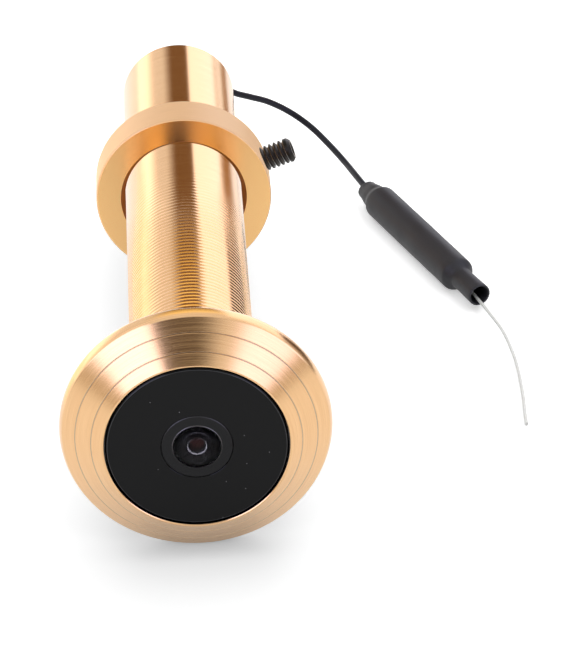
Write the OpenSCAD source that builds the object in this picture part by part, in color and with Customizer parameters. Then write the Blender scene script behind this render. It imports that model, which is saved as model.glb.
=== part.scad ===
// Door viewer camera: a turned head with a black window and a wide lens, a barrel that
// passes through the door, a clamp collar with its set screw, and a sleeve antenna on a
// thin coaxial lead. Millimetres. The door side of the head is at y = 0, the barrel runs
// along +Y to the inside of the room, and +Z is up.

/* [Head] */
// Largest diameter of the head
head_d = 29.5; // [27:0.5:34]
// Depth of the head in front of the door face
head_depth = 4.75; // [4.3:0.05:6]
// Distance from the door face to the widest line of the rim
rim_height = 0.6; // [0.4:0.05:0.8]
// Radius of the rounded band in front of the widest line
band_round = 1.9; // [1.5:0.1:3]
// Depth of that band, up to the edge of the cone
band_depth = 1.12; // [0.8:0.02:1.2]
// Radial distance from the cone's edge to the first turned groove
groove_start = 1.35; // [1:0.05:2]
// Radial distance from one groove to the next
groove_pitch = 1.7; // [1.2:0.1:2.2]
// Width of a groove
groove_w = 0.16; // [0.12:0.02:0.3]
// Depth of a groove
groove_depth = 0.1; // [0.06:0.01:0.2]
// Width of the flat lip around the window
lip_w = 0.2; // [0.16:0.02:0.4]
// Small bevel on the lip's inner edge
lip_edge = 0.08; // [0.04:0.01:0.12]
// Depth of the socket that the barrel is screwed into
socket_depth = 1.6; // [1.2:0.1:2]

/* [Window] */
// Diameter of the black front window
window_d = 19.7; // [17:0.1:20]
// Thickness of the window
window_t = 1; // [0.8:0.05:1.2]
// How far the window lies behind the lip
window_recess = 0.05; // [0:0.01:0.2]
// Radial room around the window
window_clear = 0.1; // [0.06:0.02:0.3]
// Bevel on the window's front edge
window_edge = 0.4; // [0.1:0.05:0.5]
// Thickness of the adhesive ring behind the window
tape_t = 0.15; // [0.1:0.05:0.3]
// Width of the adhesive ring
tape_w = 2.4; // [1.5:0.1:3]
// Distance from the window's edge to the adhesive ring
tape_inset = 0.7; // [0.4:0.1:1]

/* [Lens] */
// Diameter of the lens flange in the window
lens_flange_d = 7.7; // [7.2:0.1:8.4]
// Thickness of the lens flange
lens_flange_t = 1.3; // [1.1:0.1:1.4]
// Radial gap between the lens flange and the window
lens_gap = 0.1; // [0.05:0.01:0.2]
// Bevel on the front edge of the lens flange
lens_edge = 0.1; // [0.05:0.01:0.2]
// Diameter of the lens tube behind the flange
lens_tube_d = 6.8; // [6.6:0.1:7]
// Length of the lens from its front face
lens_length = 8; // [7.4:0.1:10]
// Diameter of the glass that shows
aperture_d = 5.16; // [4.6:0.02:5.5]
// Thickness of the lip that holds the front glass
lens_lip_t = 0.25; // [0.2:0.05:0.4]
// Diameter of the glass elements
element_d = 5.8; // [5.6:0.05:5.9]
// Radial room around the glass elements
element_clear = 0.03; // [0.02:0.01:0.06]
// Edge thickness of the front glass
front_lens_t = 1; // [0.9:0.05:1.3]
// Height of the front glass's dome
dome_h = 0.45; // [0.3:0.05:0.8]
// Diameter of the hollow in the back of the front glass
hollow_d = 3; // [2.6:0.1:3.4]
// Depth of that hollow
hollow_depth = 0.65; // [0.4:0.05:0.75]
// Thickness of the spacer ring
spacer_t = 1.6; // [1:0.1:2]
// Diameter of the hole in the spacer ring
spacer_hole_d = 2.3; // [1.8:0.1:2.5]
// Edge thickness of the inner glass
inner_lens_t = 2.2; // [1.6:0.1:2.4]
// Height of the inner glass's rear dome
inner_dome_h = 0.5; // [0.3:0.05:0.6]
// Thickness of the retaining ring
retainer_t = 1.2; // [0.8:0.1:1.4]

/* [Camera module] */
// Wall of the lens holder around the lens tube
holder_wall = 1; // [0.8:0.1:1.2]
// Radial room between the lens tube and the holder
holder_clear = 0.03; // [0.02:0.01:0.06]
// Radial room between the holder's nose and the head
nose_clear = 0.2; // [0.1:0.05:0.3]
// Gap between the lens flange and the holder's nose, used to set the focus
focus_gap = 0.4; // [0.3:0.05:0.6]
// Thickness of the holder's two flanges
holder_flange_t = 1.2; // [1:0.1:1.4]
// Side of the infrared filter
filter_w = 5.2; // [4.6:0.1:5.6]
// Thickness of the infrared filter
filter_t = 0.3; // [0.2:0.05:0.5]
// Distance from the lens to the infrared filter
filter_gap = 0.8; // [0.5:0.1:1.2]
// Side of the image sensor
sensor_w = 6.2; // [5.6:0.1:6.6]
// Thickness of the image sensor
sensor_t = 0.9; // [0.6:0.1:1.2]
// Distance from the filter to the image sensor
sensor_gap = 0.5; // [0.3:0.1:0.8]
// Thickness of the round sensor board
sensor_board_t = 0.8; // [0.6:0.1:1.2]

/* [Barrel] */
// Outer diameter of the barrel
barrel_d = 14; // [13.6:0.2:18]
// Wall of the barrel
barrel_wall = 1; // [0.8:0.05:1.1]
// Length of the barrel behind the door face
barrel_length = 79; // [72:1:100]
// Bevel on the rear end of the barrel
barrel_edge = 0.4; // [0.2:0.05:0.5]

/* [Collar] */
// Width of the clamp collar along the barrel
collar_w = 5; // [4.4:0.1:8]
// Wall of the clamp collar
collar_wall = 3.4; // [2.9:0.1:4.4]
// Radial room between the collar and the barrel
collar_clear = 0.15; // [0.1:0.01:0.3]
// Bevel on the collar's outer edges
collar_edge = 0.15; // [0.1:0.05:0.5]
// Radial width of the lead-in cones at the collar's bore
collar_lead_w = 0.45; // [0.2:0.05:0.6]
// Depth of these cones
collar_lead_l = 0.8; // [0.4:0.1:1.2]
// Distance from the door face to the collar's front face
collar_place = 51; // [30:1:60]

/* [Set screw] */
// Diameter of the set screw
screw_d = 3; // [2.5:0.1:3.4]
// Length of the set screw
screw_length = 6; // [5:0.5:8]
// Angle of the set screw above the horizontal
screw_angle = 19; // [0:0.5:90]
// Gap between the screw's tip and the barrel when it is loose
screw_gap = 1.15; // [1.15:0.05:2]
// Radial room around the set screw in the collar
screw_clear = 0.05; // [0.03:0.01:0.08]
// Width across the flats of the hexagon socket
screw_key = 1.5; // [1.2:0.1:1.6]
// Depth of the hexagon socket
screw_key_depth = 1.8; // [1.2:0.1:2.2]
// Bevel on the ends of the set screw
screw_edge = 0.35; // [0.2:0.05:0.5]

/* [Electronics] */
// Wall of the insulating liner in the barrel
liner_wall = 0.25; // [0.15:0.05:0.4]
// Thickness of the main board
board_t = 0.8; // [0.6:0.1:1]
// Height of the main board's top above the axis
board_top = 0.5; // [0.4:0.1:0.7]
// Gap between the sensor board and the main board
board_setback = 4; // [3:0.5:8]
// Width of the flat cable
cable_w = 6; // [4:0.5:7]
// Thickness of the flat cable
cable_t = 0.2; // [0.15:0.05:0.3]
// Side of the processor
processor_w = 8; // [6:0.5:9]
// Height of the processor
processor_h = 1; // [0.8:0.1:1.4]
// Width of the memory chip
memory_w = 5; // [4:0.5:6]
// Length of the memory chip
memory_l = 6; // [5:0.5:8]
// Height of the memory chip
memory_h = 0.8; // [0.6:0.1:1.2]
// Width of the radio's shield
shield_w = 8.6; // [7:0.2:9]
// Length of the radio's shield
shield_l = 13; // [10:0.5:14]
// Height of the radio's shield
shield_h = 1.9; // [1.4:0.1:2.2]
// Wall of the radio's shield
shield_wall = 0.2; // [0.15:0.05:0.3]
// Width of the microphone
microphone_w = 2.9; // [2.4:0.1:3.6]
// Length of the microphone
microphone_l = 3.8; // [3:0.1:4.4]
// Height of the microphone
microphone_h = 1; // [0.8:0.1:1.4]
// Diameter of the microphone's sound port
microphone_port_d = 0.8; // [0.5:0.1:1]

/* [Rear end] */
// Thickness of the rear cap
cap_t = 4; // [3.5:0.25:5]
// Radial room between the inner pieces and the barrel's bore
bore_clear = 0.05; // [0.02:0.01:0.1]
// Bevel on the rear cap's outer edge
cap_edge = 0.25; // [0.15:0.05:0.4]
// Depth of the slot in the cap that holds the main board
cap_slot = 1.5; // [1:0.1:2]
// Room around pieces that pass through the cap
cap_clear = 0.05; // [0.03:0.01:0.08]
// Width of the power socket
power_w = 7.5; // [7:0.1:7.8]
// Height of the power socket
power_h = 2.6; // [2.4:0.1:2.8]
// Length of the power socket
power_l = 5.4; // [5:0.1:6]
// Wall of the power socket's shell
power_wall = 0.3; // [0.2:0.05:0.4]
// Side of the slanted lower corners of the power socket
power_slant = 0.8; // [0.5:0.1:1]
// Distance from the axis to the reset button, to the left
reset_x = 3; // [2.6:0.1:3.4]
// Diameter of the reset button's stem
reset_d = 1.2; // [1:0.1:1.4]
// Radial room around the reset button's stem
reset_clear = 0.12; // [0.08:0.02:0.2]
// Depth of the reset button below the cap's face
reset_recess = 0.3; // [0.2:0.05:0.6]
// Travel of the reset button
reset_travel = 0.25; // [0.15:0.05:0.4]
// Width of the reset switch
switch_w = 3.4; // [3:0.1:3.8]
// Length of the reset switch
switch_l = 3; // [2.8:0.1:4]

/* [Antenna] */
// Diameter of the coaxial lead
coax_d = 0.81; // [0.7:0.01:1]
// Distance from the axis to the coaxial lead, to the right
coax_x = 3.2; // [2.8:0.1:3.4]
// Height of the coaxial lead above the main board
coax_height = 0.9; // [0.85:0.05:1]
// Side of the coaxial connector on the board
connector_w = 2.6; // [2.4:0.1:3]
// Diameter of the grommet in the cap
grommet_d = 2.1; // [1.9:0.1:2.3]
// Diameter of the grommet's rim outside the cap
grommet_rim_d = 2.8; // [2.6:0.1:3.2]
// Thickness of the grommet's rim
grommet_rim_t = 0.5; // [0.4:0.05:0.8]
// Distance from the cap's face to the grommet's tip
grommet_out = 1.6; // [1.2:0.1:2.4]
// Room around the lead in the grommet and in the antenna
coax_clear = 0.03; // [0.02:0.01:0.05]
// Diameter of the antenna's body
antenna_d = 4.3; // [4:0.1:5]
// Length of the antenna's body between its stubs
antenna_length = 23; // [18:0.2:30]
// Diameter of the stub at the lead's end
near_stub_d = 2.8; // [2.4:0.1:3.2]
// Length of the stub at the lead's end
near_stub_l = 2.8; // [2.2:0.2:5]
// Diameter of the open stub where it leaves the body
far_stub_d = 2.7; // [2.4:0.1:3]
// Diameter of the open stub at its mouth
mouth_d = 3.1; // [2.7:0.1:3.4]
// Length of the open stub at the far end
far_stub_l = 4.8; // [4:0.2:6]
// Wall of the shrunk tube
shrink_wall = 0.28; // [0.2:0.02:0.34]
// Length of each rounded shoulder of the shrunk tube
shoulder_l = 1.2; // [0.8:0.1:1.6]
// Wall of the metal sleeve inside
sleeve_wall = 0.3; // [0.2:0.05:0.4]
// Gap between the sleeve and its neighbours
sleeve_gap = 0.03; // [0.02:0.01:0.05]
// Length of the ferrule inside the sleeve
ferrule_l = 1.5; // [1:0.1:3]
// Diameter of the bare wire
wire_d = 0.4; // [0.3:0.02:0.5]

/* [Hidden] */
$fn = 64;

// Steps along a rounded edge
round_steps = 6;
// Overlap that keeps a cut clear of the face it opens
cut = 0.1;

// Head
head_r = head_d / 2;
barrel_r = barrel_d / 2;
bore_r = barrel_r - barrel_wall;
socket_r = barrel_r + bore_clear / 2;
window_r = window_d / 2;
opening_r = window_r + window_clear;
band_angle = asin(band_depth / band_round);
shoulder = [head_r - band_round * (1 - cos(band_angle)), -rim_height - band_depth];
lip = [opening_r + lip_w, -head_depth];
cone_slope = (lip.y - shoulder.y) / (lip.x - shoulder.x);
cone_normal = [cone_slope, -1] / norm([cone_slope, -1]);
groove_stop = lip.x + groove_w;
groove_radii = [for (r = shoulder.x - groove_start; r > groove_stop; r = r - groove_pitch) r];

// Window
window_front = window_recess - head_depth;
window_back = window_front + window_t;
window_seat = window_back + tape_t;
lens_flange_r = lens_flange_d / 2;
window_hole_r = lens_flange_r + lens_gap;
tape_r = window_r - tape_inset;

// Lens, counted from its front face, which is flush with the window
lens_tube_r = lens_tube_d / 2;
aperture_r = aperture_d / 2;
element_r = element_d / 2;
lens_bore_r = element_r + element_clear;
lens_back = window_front + lens_length;
front_lens_y = window_front + lens_lip_t;
spacer_y = front_lens_y + front_lens_t;
inner_lens_y = spacer_y + spacer_t;
retainer_y = inner_lens_y + inner_lens_t;
dome_r = aperture_r - element_clear;
hollow_r = hollow_d / 2;
spacer_hole_r = spacer_hole_d / 2;
retainer_hole_r = element_r * 0.75;

// Camera module
nose_r = lens_tube_r + holder_clear + holder_wall;
nose_hole_r = nose_r + nose_clear;
nose_y = window_front + lens_flange_t + focus_gap;
floor_y = -socket_depth;
inner_r = bore_r - bore_clear;
filter_y = lens_back + filter_gap;
sensor_y = filter_y + filter_t + sensor_gap;
sensor_board_y = sensor_y + sensor_t;
sensor_back = sensor_board_y + sensor_board_t;
filter_pocket_w = filter_w + 4 * holder_clear;
sensor_pocket_w = sensor_w + 8 * holder_clear;
filter_hole_r = filter_w * 0.42;
holder_rear_flange_y = filter_y - holder_flange_t;

// Electronics
liner_r = inner_r - liner_wall;
board_bottom = board_top - board_t;
board_edge = max(abs(board_top), abs(board_bottom));
board_half_w = sqrt(liner_r * liner_r - board_edge * board_edge) - bore_clear;
cap_y = barrel_length - cap_t;
liner_y = sensor_back + bore_clear;
liner_end = cap_y - bore_clear;
board_y = sensor_back + board_setback;
board_end = cap_y + cap_slot - cap_clear;
cable_bend = 4 * cable_t;
cable_rise = 3;
cable_lap = 2.5;
part_gap = 3;
microphone_y = board_y + cable_lap + part_gap;
processor_y = microphone_y + microphone_l + part_gap;
memory_y = processor_y;
switch_y = cap_y - switch_l - part_gap / 10;
connector_y = switch_y - connector_w - part_gap / 2;
shield_y = connector_y - shield_l - part_gap / 2;

// Rear end
power_top = board_bottom;
power_y = barrel_length - power_l;
tongue_t = 0.6;
tongue_w = power_w * 0.5;
tongue_back = 1;
reset_z = board_top + coax_height;
reset_r = reset_d / 2;
reset_hole_r = reset_r + reset_clear;
switch_h = 2 * coax_height;
switch_lip = 0.5;
switch_floor = 0.5;
button_flange_r = reset_r + 0.15;
switch_cavity_r = button_flange_r + reset_clear;
switch_cavity_y = switch_y + switch_floor;
switch_lip_y = switch_y + switch_l - switch_lip;
button_flange_y = switch_cavity_y + 1.4 * reset_travel;
button_flange_end = switch_lip_y - bore_clear;

// Clamp collar and set screw
collar_bore_r = barrel_r + collar_clear;
collar_r = collar_bore_r + collar_wall;
collar_middle = collar_place + collar_w / 2;
screw_r = screw_d / 2;
screw_tip = barrel_r + screw_gap;

// Antenna and its lead: the points are offsets from the grommet's tip, then from the antenna's start
coax_r = coax_d / 2;
coax_z = board_top + coax_height;
coax_bore_r = coax_r + coax_clear;
grommet_r = grommet_d / 2;
grommet_rim_r = grommet_rim_d / 2;
grommet_y = cap_y + cap_slot + cap_clear;
coax_exit = [coax_x, barrel_length + grommet_out, coax_z];
coax_route = [
    [0, 0, 0], [0, 1, 0], [0.2, 2.4, -0.5], [0.9, 3.6, -1.7], [2.2, 4.5, -3.4], [4, 5.3, -5.2],
    [6.1, 6.4, -6.5], [8.6, 7.6, -8], [11.4, 8.2, -10], [14, 7, -11.7], [16.2, 4, -12.9],
    [18, 0.5, -13.7], [19.2, -3.2, -13.8], [20.4, -6.7, -14]
];
antenna_start = coax_exit + coax_route[len(coax_route) - 1];
antenna_heading = 202.4;
antenna_axis = [-sin(antenna_heading), cos(antenna_heading), 0];
wire_r = wire_d / 2;
wire_route = [
    [11.8, -28.9, -0.4], [12.7, -31.5, -0.7], [13.7, -34.9, -1.1], [14.4, -39.2, -1.4],
    [14.7, -43.1, -1.7], [14.7, -48.4, -1.9], [14.5, -52.2, -1.9], [14.4, -54.8, -1.9]
];
near_stub_r = near_stub_d / 2;
far_stub_r = far_stub_d / 2;
mouth_r = mouth_d / 2;
antenna_r = antenna_d / 2;
body_start = near_stub_l;
body_end = near_stub_l + antenna_length;
antenna_end = body_end + far_stub_l;
sleeve_r = antenna_r - shrink_wall - sleeve_gap;
sleeve_bore_r = sleeve_r - sleeve_wall;
sleeve_start = body_start + shoulder_l;
sleeve_end = body_end - shoulder_l;
ferrule_start = sleeve_end - ferrule_l;

// Points of an arc about a centre, from one angle to another
function arc(centre, r, from, to) =
    [for (i = [0 : round_steps])
        let (a = from + (to - from) * i / round_steps)
        centre + r * [cos(a), sin(a)]];

// Height of the head's cone at a radius
function cone_at(r) = shoulder.y + cone_slope * (r - shoulder.x);

// Outline of one turned groove, cut into the cone
function groove(r) = [
    [r + groove_w / 2, cone_at(r + groove_w / 2)],
    [r, cone_at(r)] - groove_depth * [abs(cone_normal.x), -abs(cone_normal.y)],
    [r - groove_w / 2, cone_at(r - groove_w / 2)]
];

// Radius of the sphere whose cap has a base radius and a height
function cap_sphere(base_r, height) = (base_r * base_r + height * height) / (2 * height);

// Smooth curve through a list of points
function curve_at(a, b, c, d, t) =
    0.5 * (2 * b + (c - a) * t + (2 * a - 5 * b + 4 * c - d) * t * t
        + (3 * b - a - 3 * c + d) * t * t * t);
function padded(p) = concat([2 * p[0] - p[1]], p, [2 * p[len(p) - 1] - p[len(p) - 2]]);
function smooth(points, steps) =
    let (p = padded(points))
    concat(
        [for (i = [1 : len(p) - 3]) for (k = [0 : steps - 1])
            curve_at(p[i - 1], p[i], p[i + 1], p[i + 2], k / steps)],
        [points[len(points) - 1]]);

// Path that leaves its first point straight and is smooth from the second one on
function led(points, steps) =
    concat([points[0]], smooth([for (i = [1 : len(points) - 1]) points[i]], steps));

// Direction of a path at one of its points
function unit(v) = v / norm(v);
function heading(path, i) =
    unit(path[min(i + 1, len(path) - 1)] - path[max(i - 1, 0)]);

// One ring of points around a path
function ring(path, i, r, sides) =
    let (along = heading(path, i), side = unit(cross(along, [0, 0, 1])), up = cross(side, along))
    [for (k = [0 : sides - 1])
        path[i] + r * (cos(360 * k / sides) * side + sin(360 * k / sides) * up)];

// Round tube along a path
module tube(path, r, sides) {
    rings = len(path);
    points = [for (i = [0 : rings - 1]) each ring(path, i, r, sides)];
    walls = [for (i = [0 : rings - 2]) for (k = [0 : sides - 1])
        let (a = i * sides + k, b = i * sides + (k + 1) % sides)
        each [[a, a + sides, b], [b, a + sides, b + sides]]];
    first = [for (k = [1 : sides - 2]) [0, k, k + 1]];
    top = (rings - 1) * sides;
    last = [for (k = [1 : sides - 2]) [top, top + k + 1, top + k]];
    polyhedron(points, concat(walls, first, last));
}

// Solid of revolution about the barrel's axis, from points of radius and distance
module turned(points) {
    rotate([-90, 0, 0]) rotate_extrude() polygon(points);
}

// Round bar along the barrel's axis
module bar(r, from, to) {
    turned([[0, from], [r, from], [r, to], [0, to]]);
}

// Outline in X and Z, drawn out along the barrel's axis
module drawn(from, to) {
    translate([0, to, 0]) rotate([90, 0, 0]) linear_extrude(to - from) children();
}

// Block with its middle at x, its front at y and its underside at z
module block(x, y, z, size) {
    translate([x - size.x / 2, y, z]) cube(size);
}

// Places a piece in the antenna's own line
module on_antenna() {
    translate(antenna_start) rotate([0, 0, antenna_heading]) children();
}

// Places a piece along the set screw's axis, with the barrel's axis at zero
module on_screw() {
    translate([0, collar_middle, 0]) rotate([0, 90 - screw_angle, 0]) children();
}

// Turned head, with its rounded rim, grooved cone, window seat and barrel socket
module head_bezel() {
    rim_centre = [head_r - rim_height, -rim_height];
    band_centre = [head_r - band_round, -rim_height];
    color("#DDB27A")
    turned(concat(
        [[socket_r, 0]],
        arc(rim_centre, rim_height, 90, 0),
        [for (i = [1 : round_steps]) arc(band_centre, band_round, 0, -band_angle)[i]],
        [for (r = groove_radii) each groove(r)],
        [lip, [opening_r + lip_edge, -head_depth], [opening_r, lip_edge - head_depth]],
        [[opening_r, window_seat], [nose_hole_r, window_seat]],
        [[nose_hole_r, floor_y], [socket_r, floor_y]]
    ));
}

// Black window with a bevelled edge and a hole for the lens
module front_window() {
    color("#222226")
    turned([
        [window_hole_r, window_front],
        [window_r - window_edge, window_front],
        [window_r, window_front + window_edge],
        [window_r, window_back],
        [window_hole_r, window_back]
    ]);
}

// Adhesive ring between the window and its seat
module window_adhesive_ring() {
    color("#1A1A1A")
    turned([
        [tape_r - tape_w, window_back],
        [tape_r, window_back],
        [tape_r, window_seat],
        [tape_r - tape_w, window_seat]
    ]);
}

// Lens barrel with its flange, front lip and bore
module lens_barrel() {
    flange_back = window_front + lens_flange_t;
    color("#262629")
    turned([
        [aperture_r, window_front],
        [lens_flange_r - lens_edge, window_front],
        [lens_flange_r, window_front + lens_edge],
        [lens_flange_r, flange_back],
        [lens_tube_r, flange_back],
        [lens_tube_r, lens_back],
        [lens_bore_r, lens_back],
        [lens_bore_r, front_lens_y],
        [aperture_r, front_lens_y]
    ]);
}

// Front glass: a domed disc with a hollow back
module front_lens() {
    dome_sphere = cap_sphere(dome_r, dome_h);
    hollow_sphere = cap_sphere(hollow_r, hollow_depth);
    color("#2B2530", 0.6)
    difference() {
        union() {
            bar(element_r, front_lens_y, spacer_y);
            intersection() {
                translate([0, front_lens_y - dome_h + dome_sphere, 0]) sphere(dome_sphere);
                bar(dome_r, front_lens_y - dome_h - cut, front_lens_y + cut);
            }
        }
        translate([0, spacer_y - hollow_depth + hollow_sphere, 0]) sphere(hollow_sphere);
    }
}

// Spacer ring that keeps the two glasses apart
module lens_spacer_ring() {
    color("#B9B9BE")
    turned([
        [spacer_hole_r, spacer_y],
        [element_r, spacer_y],
        [element_r, inner_lens_y],
        [spacer_hole_r, inner_lens_y]
    ]);
}

// Inner glass with a domed back
module inner_lens() {
    inner_sphere = cap_sphere(retainer_hole_r - element_clear, inner_dome_h);
    color("#3A2E3C", 0.6)
    union() {
        bar(element_r, inner_lens_y, retainer_y);
        intersection() {
            translate([0, retainer_y + inner_dome_h - inner_sphere, 0]) sphere(inner_sphere);
            bar(retainer_hole_r - element_clear, retainer_y - cut, retainer_y + inner_dome_h + cut);
        }
    }
}

// Ring that holds the glasses in the lens barrel
module lens_retaining_ring() {
    color("#2A2A2C")
    turned([
        [retainer_hole_r, retainer_y],
        [element_r, retainer_y],
        [element_r, retainer_y + retainer_t],
        [retainer_hole_r, retainer_y + retainer_t]
    ]);
}

// Holder: a nose in the head, two flanges in the barrel and pockets for filter and sensor
module lens_holder() {
    holder_bore_r = lens_tube_r + holder_clear;
    filter_half = filter_pocket_w / 2;
    sensor_half = sensor_pocket_w / 2;
    color("#2E2E30")
    difference() {
        turned([
            [0, nose_y],
            [nose_r, nose_y],
            [nose_r, floor_y],
            [inner_r, floor_y],
            [inner_r, floor_y + holder_flange_t],
            [nose_r, floor_y + holder_flange_t],
            [nose_r, holder_rear_flange_y],
            [inner_r, holder_rear_flange_y],
            [inner_r, sensor_board_y],
            [0, sensor_board_y]
        ]);
        bar(holder_bore_r, nose_y - cut, lens_back + filter_gap / 2);
        bar(filter_hole_r, lens_back, filter_y + cut);
        drawn(filter_y, sensor_y) translate([-filter_half, -filter_half]) square(filter_pocket_w);
        drawn(filter_y + filter_t, sensor_board_y + cut)
            translate([-sensor_half, -sensor_half]) square(sensor_pocket_w);
    }
}

// Square infrared filter on the holder's ledge
module infrared_filter() {
    color("#B06A78", 0.7)
    drawn(filter_y, filter_y + filter_t)
        translate([-filter_w / 2, -filter_w / 2]) square(filter_w);
}

// Image sensor on the round board
module image_sensor() {
    color("#3C4048")
    drawn(sensor_y, sensor_board_y)
        translate([-sensor_w / 2, -sensor_w / 2]) square(sensor_w);
}

// Round board that carries the image sensor
module sensor_board() {
    color("#1F5A3A")
    bar(inner_r, sensor_board_y, sensor_back);
}

// Barrel: a tube from the head's socket to the rear end
module barrel() {
    color("#DDB27A")
    turned([
        [bore_r, floor_y],
        [barrel_r, floor_y],
        [barrel_r, barrel_length - barrel_edge],
        [barrel_r - barrel_edge, barrel_length],
        [bore_r, barrel_length]
    ]);
}

// Thin liner that keeps the board clear of the metal barrel
module insulating_liner() {
    color("#C8B48C", 0.6)
    turned([
        [liner_r, liner_y],
        [inner_r, liner_y],
        [inner_r, liner_end],
        [liner_r, liner_end]
    ]);
}

// Long main board, held in the liner and in the cap's slot
module main_board() {
    color("#1F5A3A")
    block(0, board_y, board_bottom, [2 * board_half_w, board_end - board_y, board_t]);
}

// Flat cable from the back of the sensor board to the top of the main board
module flat_cable() {
    bend = [sensor_back + cable_t + cable_bend, board_top + cable_t + cable_bend];
    cable_top = board_top + cable_rise;
    cable_end = board_y + cable_lap;
    color("#B88A3C")
    translate([-cable_w / 2, 0, 0]) rotate([90, 0, 90]) linear_extrude(cable_w)
        polygon(concat(
            [[sensor_back, cable_top]],
            arc(bend, cable_bend + cable_t, 180, 270),
            [[cable_end, board_top], [cable_end, board_top + cable_t]],
            arc(bend, cable_bend, 270, 180),
            [[sensor_back + cable_t, cable_top]]
        ));
}

// Processor on the main board's top
module processor() {
    color("#2B2C2E")
    block(0, processor_y, board_top, [processor_w, processor_w, processor_h]);
}

// Memory chip under the main board
module memory_chip() {
    color("#2B2C2E")
    block(0, memory_y, board_bottom - memory_h, [memory_w, memory_l, memory_h]);
}

// Microphone can with its sound port
module microphone() {
    color("#C9C3A8")
    difference() {
        block(0, microphone_y, board_top, [microphone_w, microphone_l, microphone_h]);
        translate([0, microphone_y + microphone_l / 2, board_top + microphone_h / 2])
            cylinder(d = microphone_port_d, h = microphone_h);
    }
}

// Folded shield over the radio
module radio_shield() {
    inside = [shield_w, shield_l, shield_h] - shield_wall * [2, 2, 1];
    color("#BFC3C6")
    difference() {
        block(0, shield_y, board_top, [shield_w, shield_l, shield_h]);
        block(0, shield_y + shield_wall, board_top - cut, inside + [0, 0, cut]);
    }
}

// Coaxial connector on the main board's top
module coax_connector() {
    color("#C8A24A")
    block(coax_x, connector_y, board_top, [connector_w, connector_w, coax_height + coax_r]);
}

// Stretch of the lead from the connector to the grommet's tip
module coax_inner_lead() {
    color("#2A2A33")
    translate([coax_x, 0, coax_z]) bar(coax_r, connector_y + connector_w, coax_exit.y);
}

// Switch housing with a cavity that guides and keeps the reset button
module reset_switch() {
    color("#3A3A3C")
    difference() {
        block(-reset_x, switch_y, board_top, [switch_w, switch_l, switch_h]);
        translate([-reset_x, 0, reset_z]) {
            bar(switch_cavity_r, switch_cavity_y, switch_lip_y);
            bar(reset_hole_r, switch_cavity_y, switch_y + switch_l + cut);
        }
    }
}

// Reset button: a flange in the switch and a stem that ends just below the cap's face
module reset_button() {
    color("#E6E2D8")
    translate([-reset_x, 0, reset_z])
        turned([
            [0, button_flange_y],
            [button_flange_r, button_flange_y],
            [button_flange_r, button_flange_end],
            [reset_r, button_flange_end],
            [reset_r, barrel_length - reset_recess],
            [0, barrel_length - reset_recess]
        ]);
}

// Outline of the power socket with its slanted lower corners
module power_outline(grow) {
    half = power_w / 2 + grow;
    low = power_top - power_h - grow;
    high = power_top + grow;
    polygon([
        [-half, high], [half, high],
        [half, low + power_slant], [half - power_slant, low],
        [power_slant - half, low], [-half, low + power_slant]
    ]);
}

// Shell of the power socket, closed at its back
module power_socket() {
    color("#C3C6C8")
    difference() {
        drawn(power_y, barrel_length) power_outline(0);
        drawn(power_y + tongue_back, barrel_length + cut) power_outline(-power_wall);
    }
}

// Contact tongue inside the power socket
module power_contact_tongue() {
    middle = power_top - power_h / 2;
    color("#1B1B1D")
    block(0, power_y + tongue_back, middle, [tongue_w, power_l - 2 * tongue_back, tongue_t]);
}

// Rear cap: a plug in the barrel with a board slot and openings for lead, button and socket
module rear_cap() {
    cap_r = inner_r;
    color("#2A2A2C")
    difference() {
        turned([
            [0, cap_y],
            [cap_r, cap_y],
            [cap_r, barrel_length - cap_edge],
            [cap_r - cap_edge, barrel_length],
            [0, barrel_length]
        ]);
        block(0, cap_y - cut, board_bottom - cap_clear,
            [2 * (board_half_w + cap_clear), cap_slot + cut, board_t + 2 * cap_clear]);
        drawn(cap_y - cut, barrel_length + cut) power_outline(cap_clear);
        translate([coax_x, 0, coax_z]) {
            bar(coax_r + cap_clear, cap_y - cut, barrel_length);
            bar(grommet_r + cap_clear, grommet_y, barrel_length + cut);
        }
        translate([-reset_x, 0, reset_z]) bar(reset_hole_r, cap_y - cut, barrel_length + cut);
    }
}

// Tapered grommet around the lead
module coax_grommet() {
    rim_end = barrel_length + grommet_rim_t;
    color("#303033")
    translate([coax_x, 0, coax_z])
        turned([
            [coax_bore_r, grommet_y],
            [grommet_r, grommet_y],
            [grommet_r, barrel_length],
            [grommet_rim_r, barrel_length],
            [grommet_rim_r, rim_end],
            [grommet_r, rim_end],
            [2 * coax_r, coax_exit.y],
            [coax_bore_r, coax_exit.y]
        ]);
}

// Clamp collar with bevelled edges, a coned bore and a hole for the set screw
module clamp_collar() {
    back = collar_place + collar_w;
    color("#E3BE92")
    difference() {
        turned([
            [collar_bore_r + collar_lead_w, collar_place],
            [collar_r - collar_edge, collar_place],
            [collar_r, collar_place + collar_edge],
            [collar_r, back - collar_edge],
            [collar_r - collar_edge, back],
            [collar_bore_r + collar_lead_w, back],
            [collar_bore_r, back - collar_lead_l],
            [collar_bore_r, collar_place + collar_lead_l]
        ]);
        on_screw() cylinder(r = screw_r + screw_clear, h = collar_r + cut);
    }
}

// Set screw with bevelled ends and a hexagon socket
module set_screw() {
    screw_end = screw_tip + screw_length;
    color("#1E1A18")
    on_screw()
        difference() {
            rotate_extrude()
                polygon([
                    [0, screw_tip],
                    [screw_r - screw_edge, screw_tip],
                    [screw_r, screw_tip + screw_edge],
                    [screw_r, screw_end - screw_edge],
                    [screw_r - screw_edge, screw_end],
                    [0, screw_end]
                ]);
            translate([0, 0, screw_end - screw_key_depth])
                cylinder(d = screw_key / cos(30), h = screw_key_depth + cut, $fn = 6);
        }
}

// Free lead from the grommet's tip into the antenna, as far as the ferrule's end
module antenna_coax() {
    free = led([for (p = coax_route) coax_exit + p], 2);
    inside = [for (k = [1 : 4]) antenna_start + antenna_axis * sleeve_end * k / 4];
    color("#2A2A33")
    tube(concat(free, inside), coax_r, 8);
}

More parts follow.
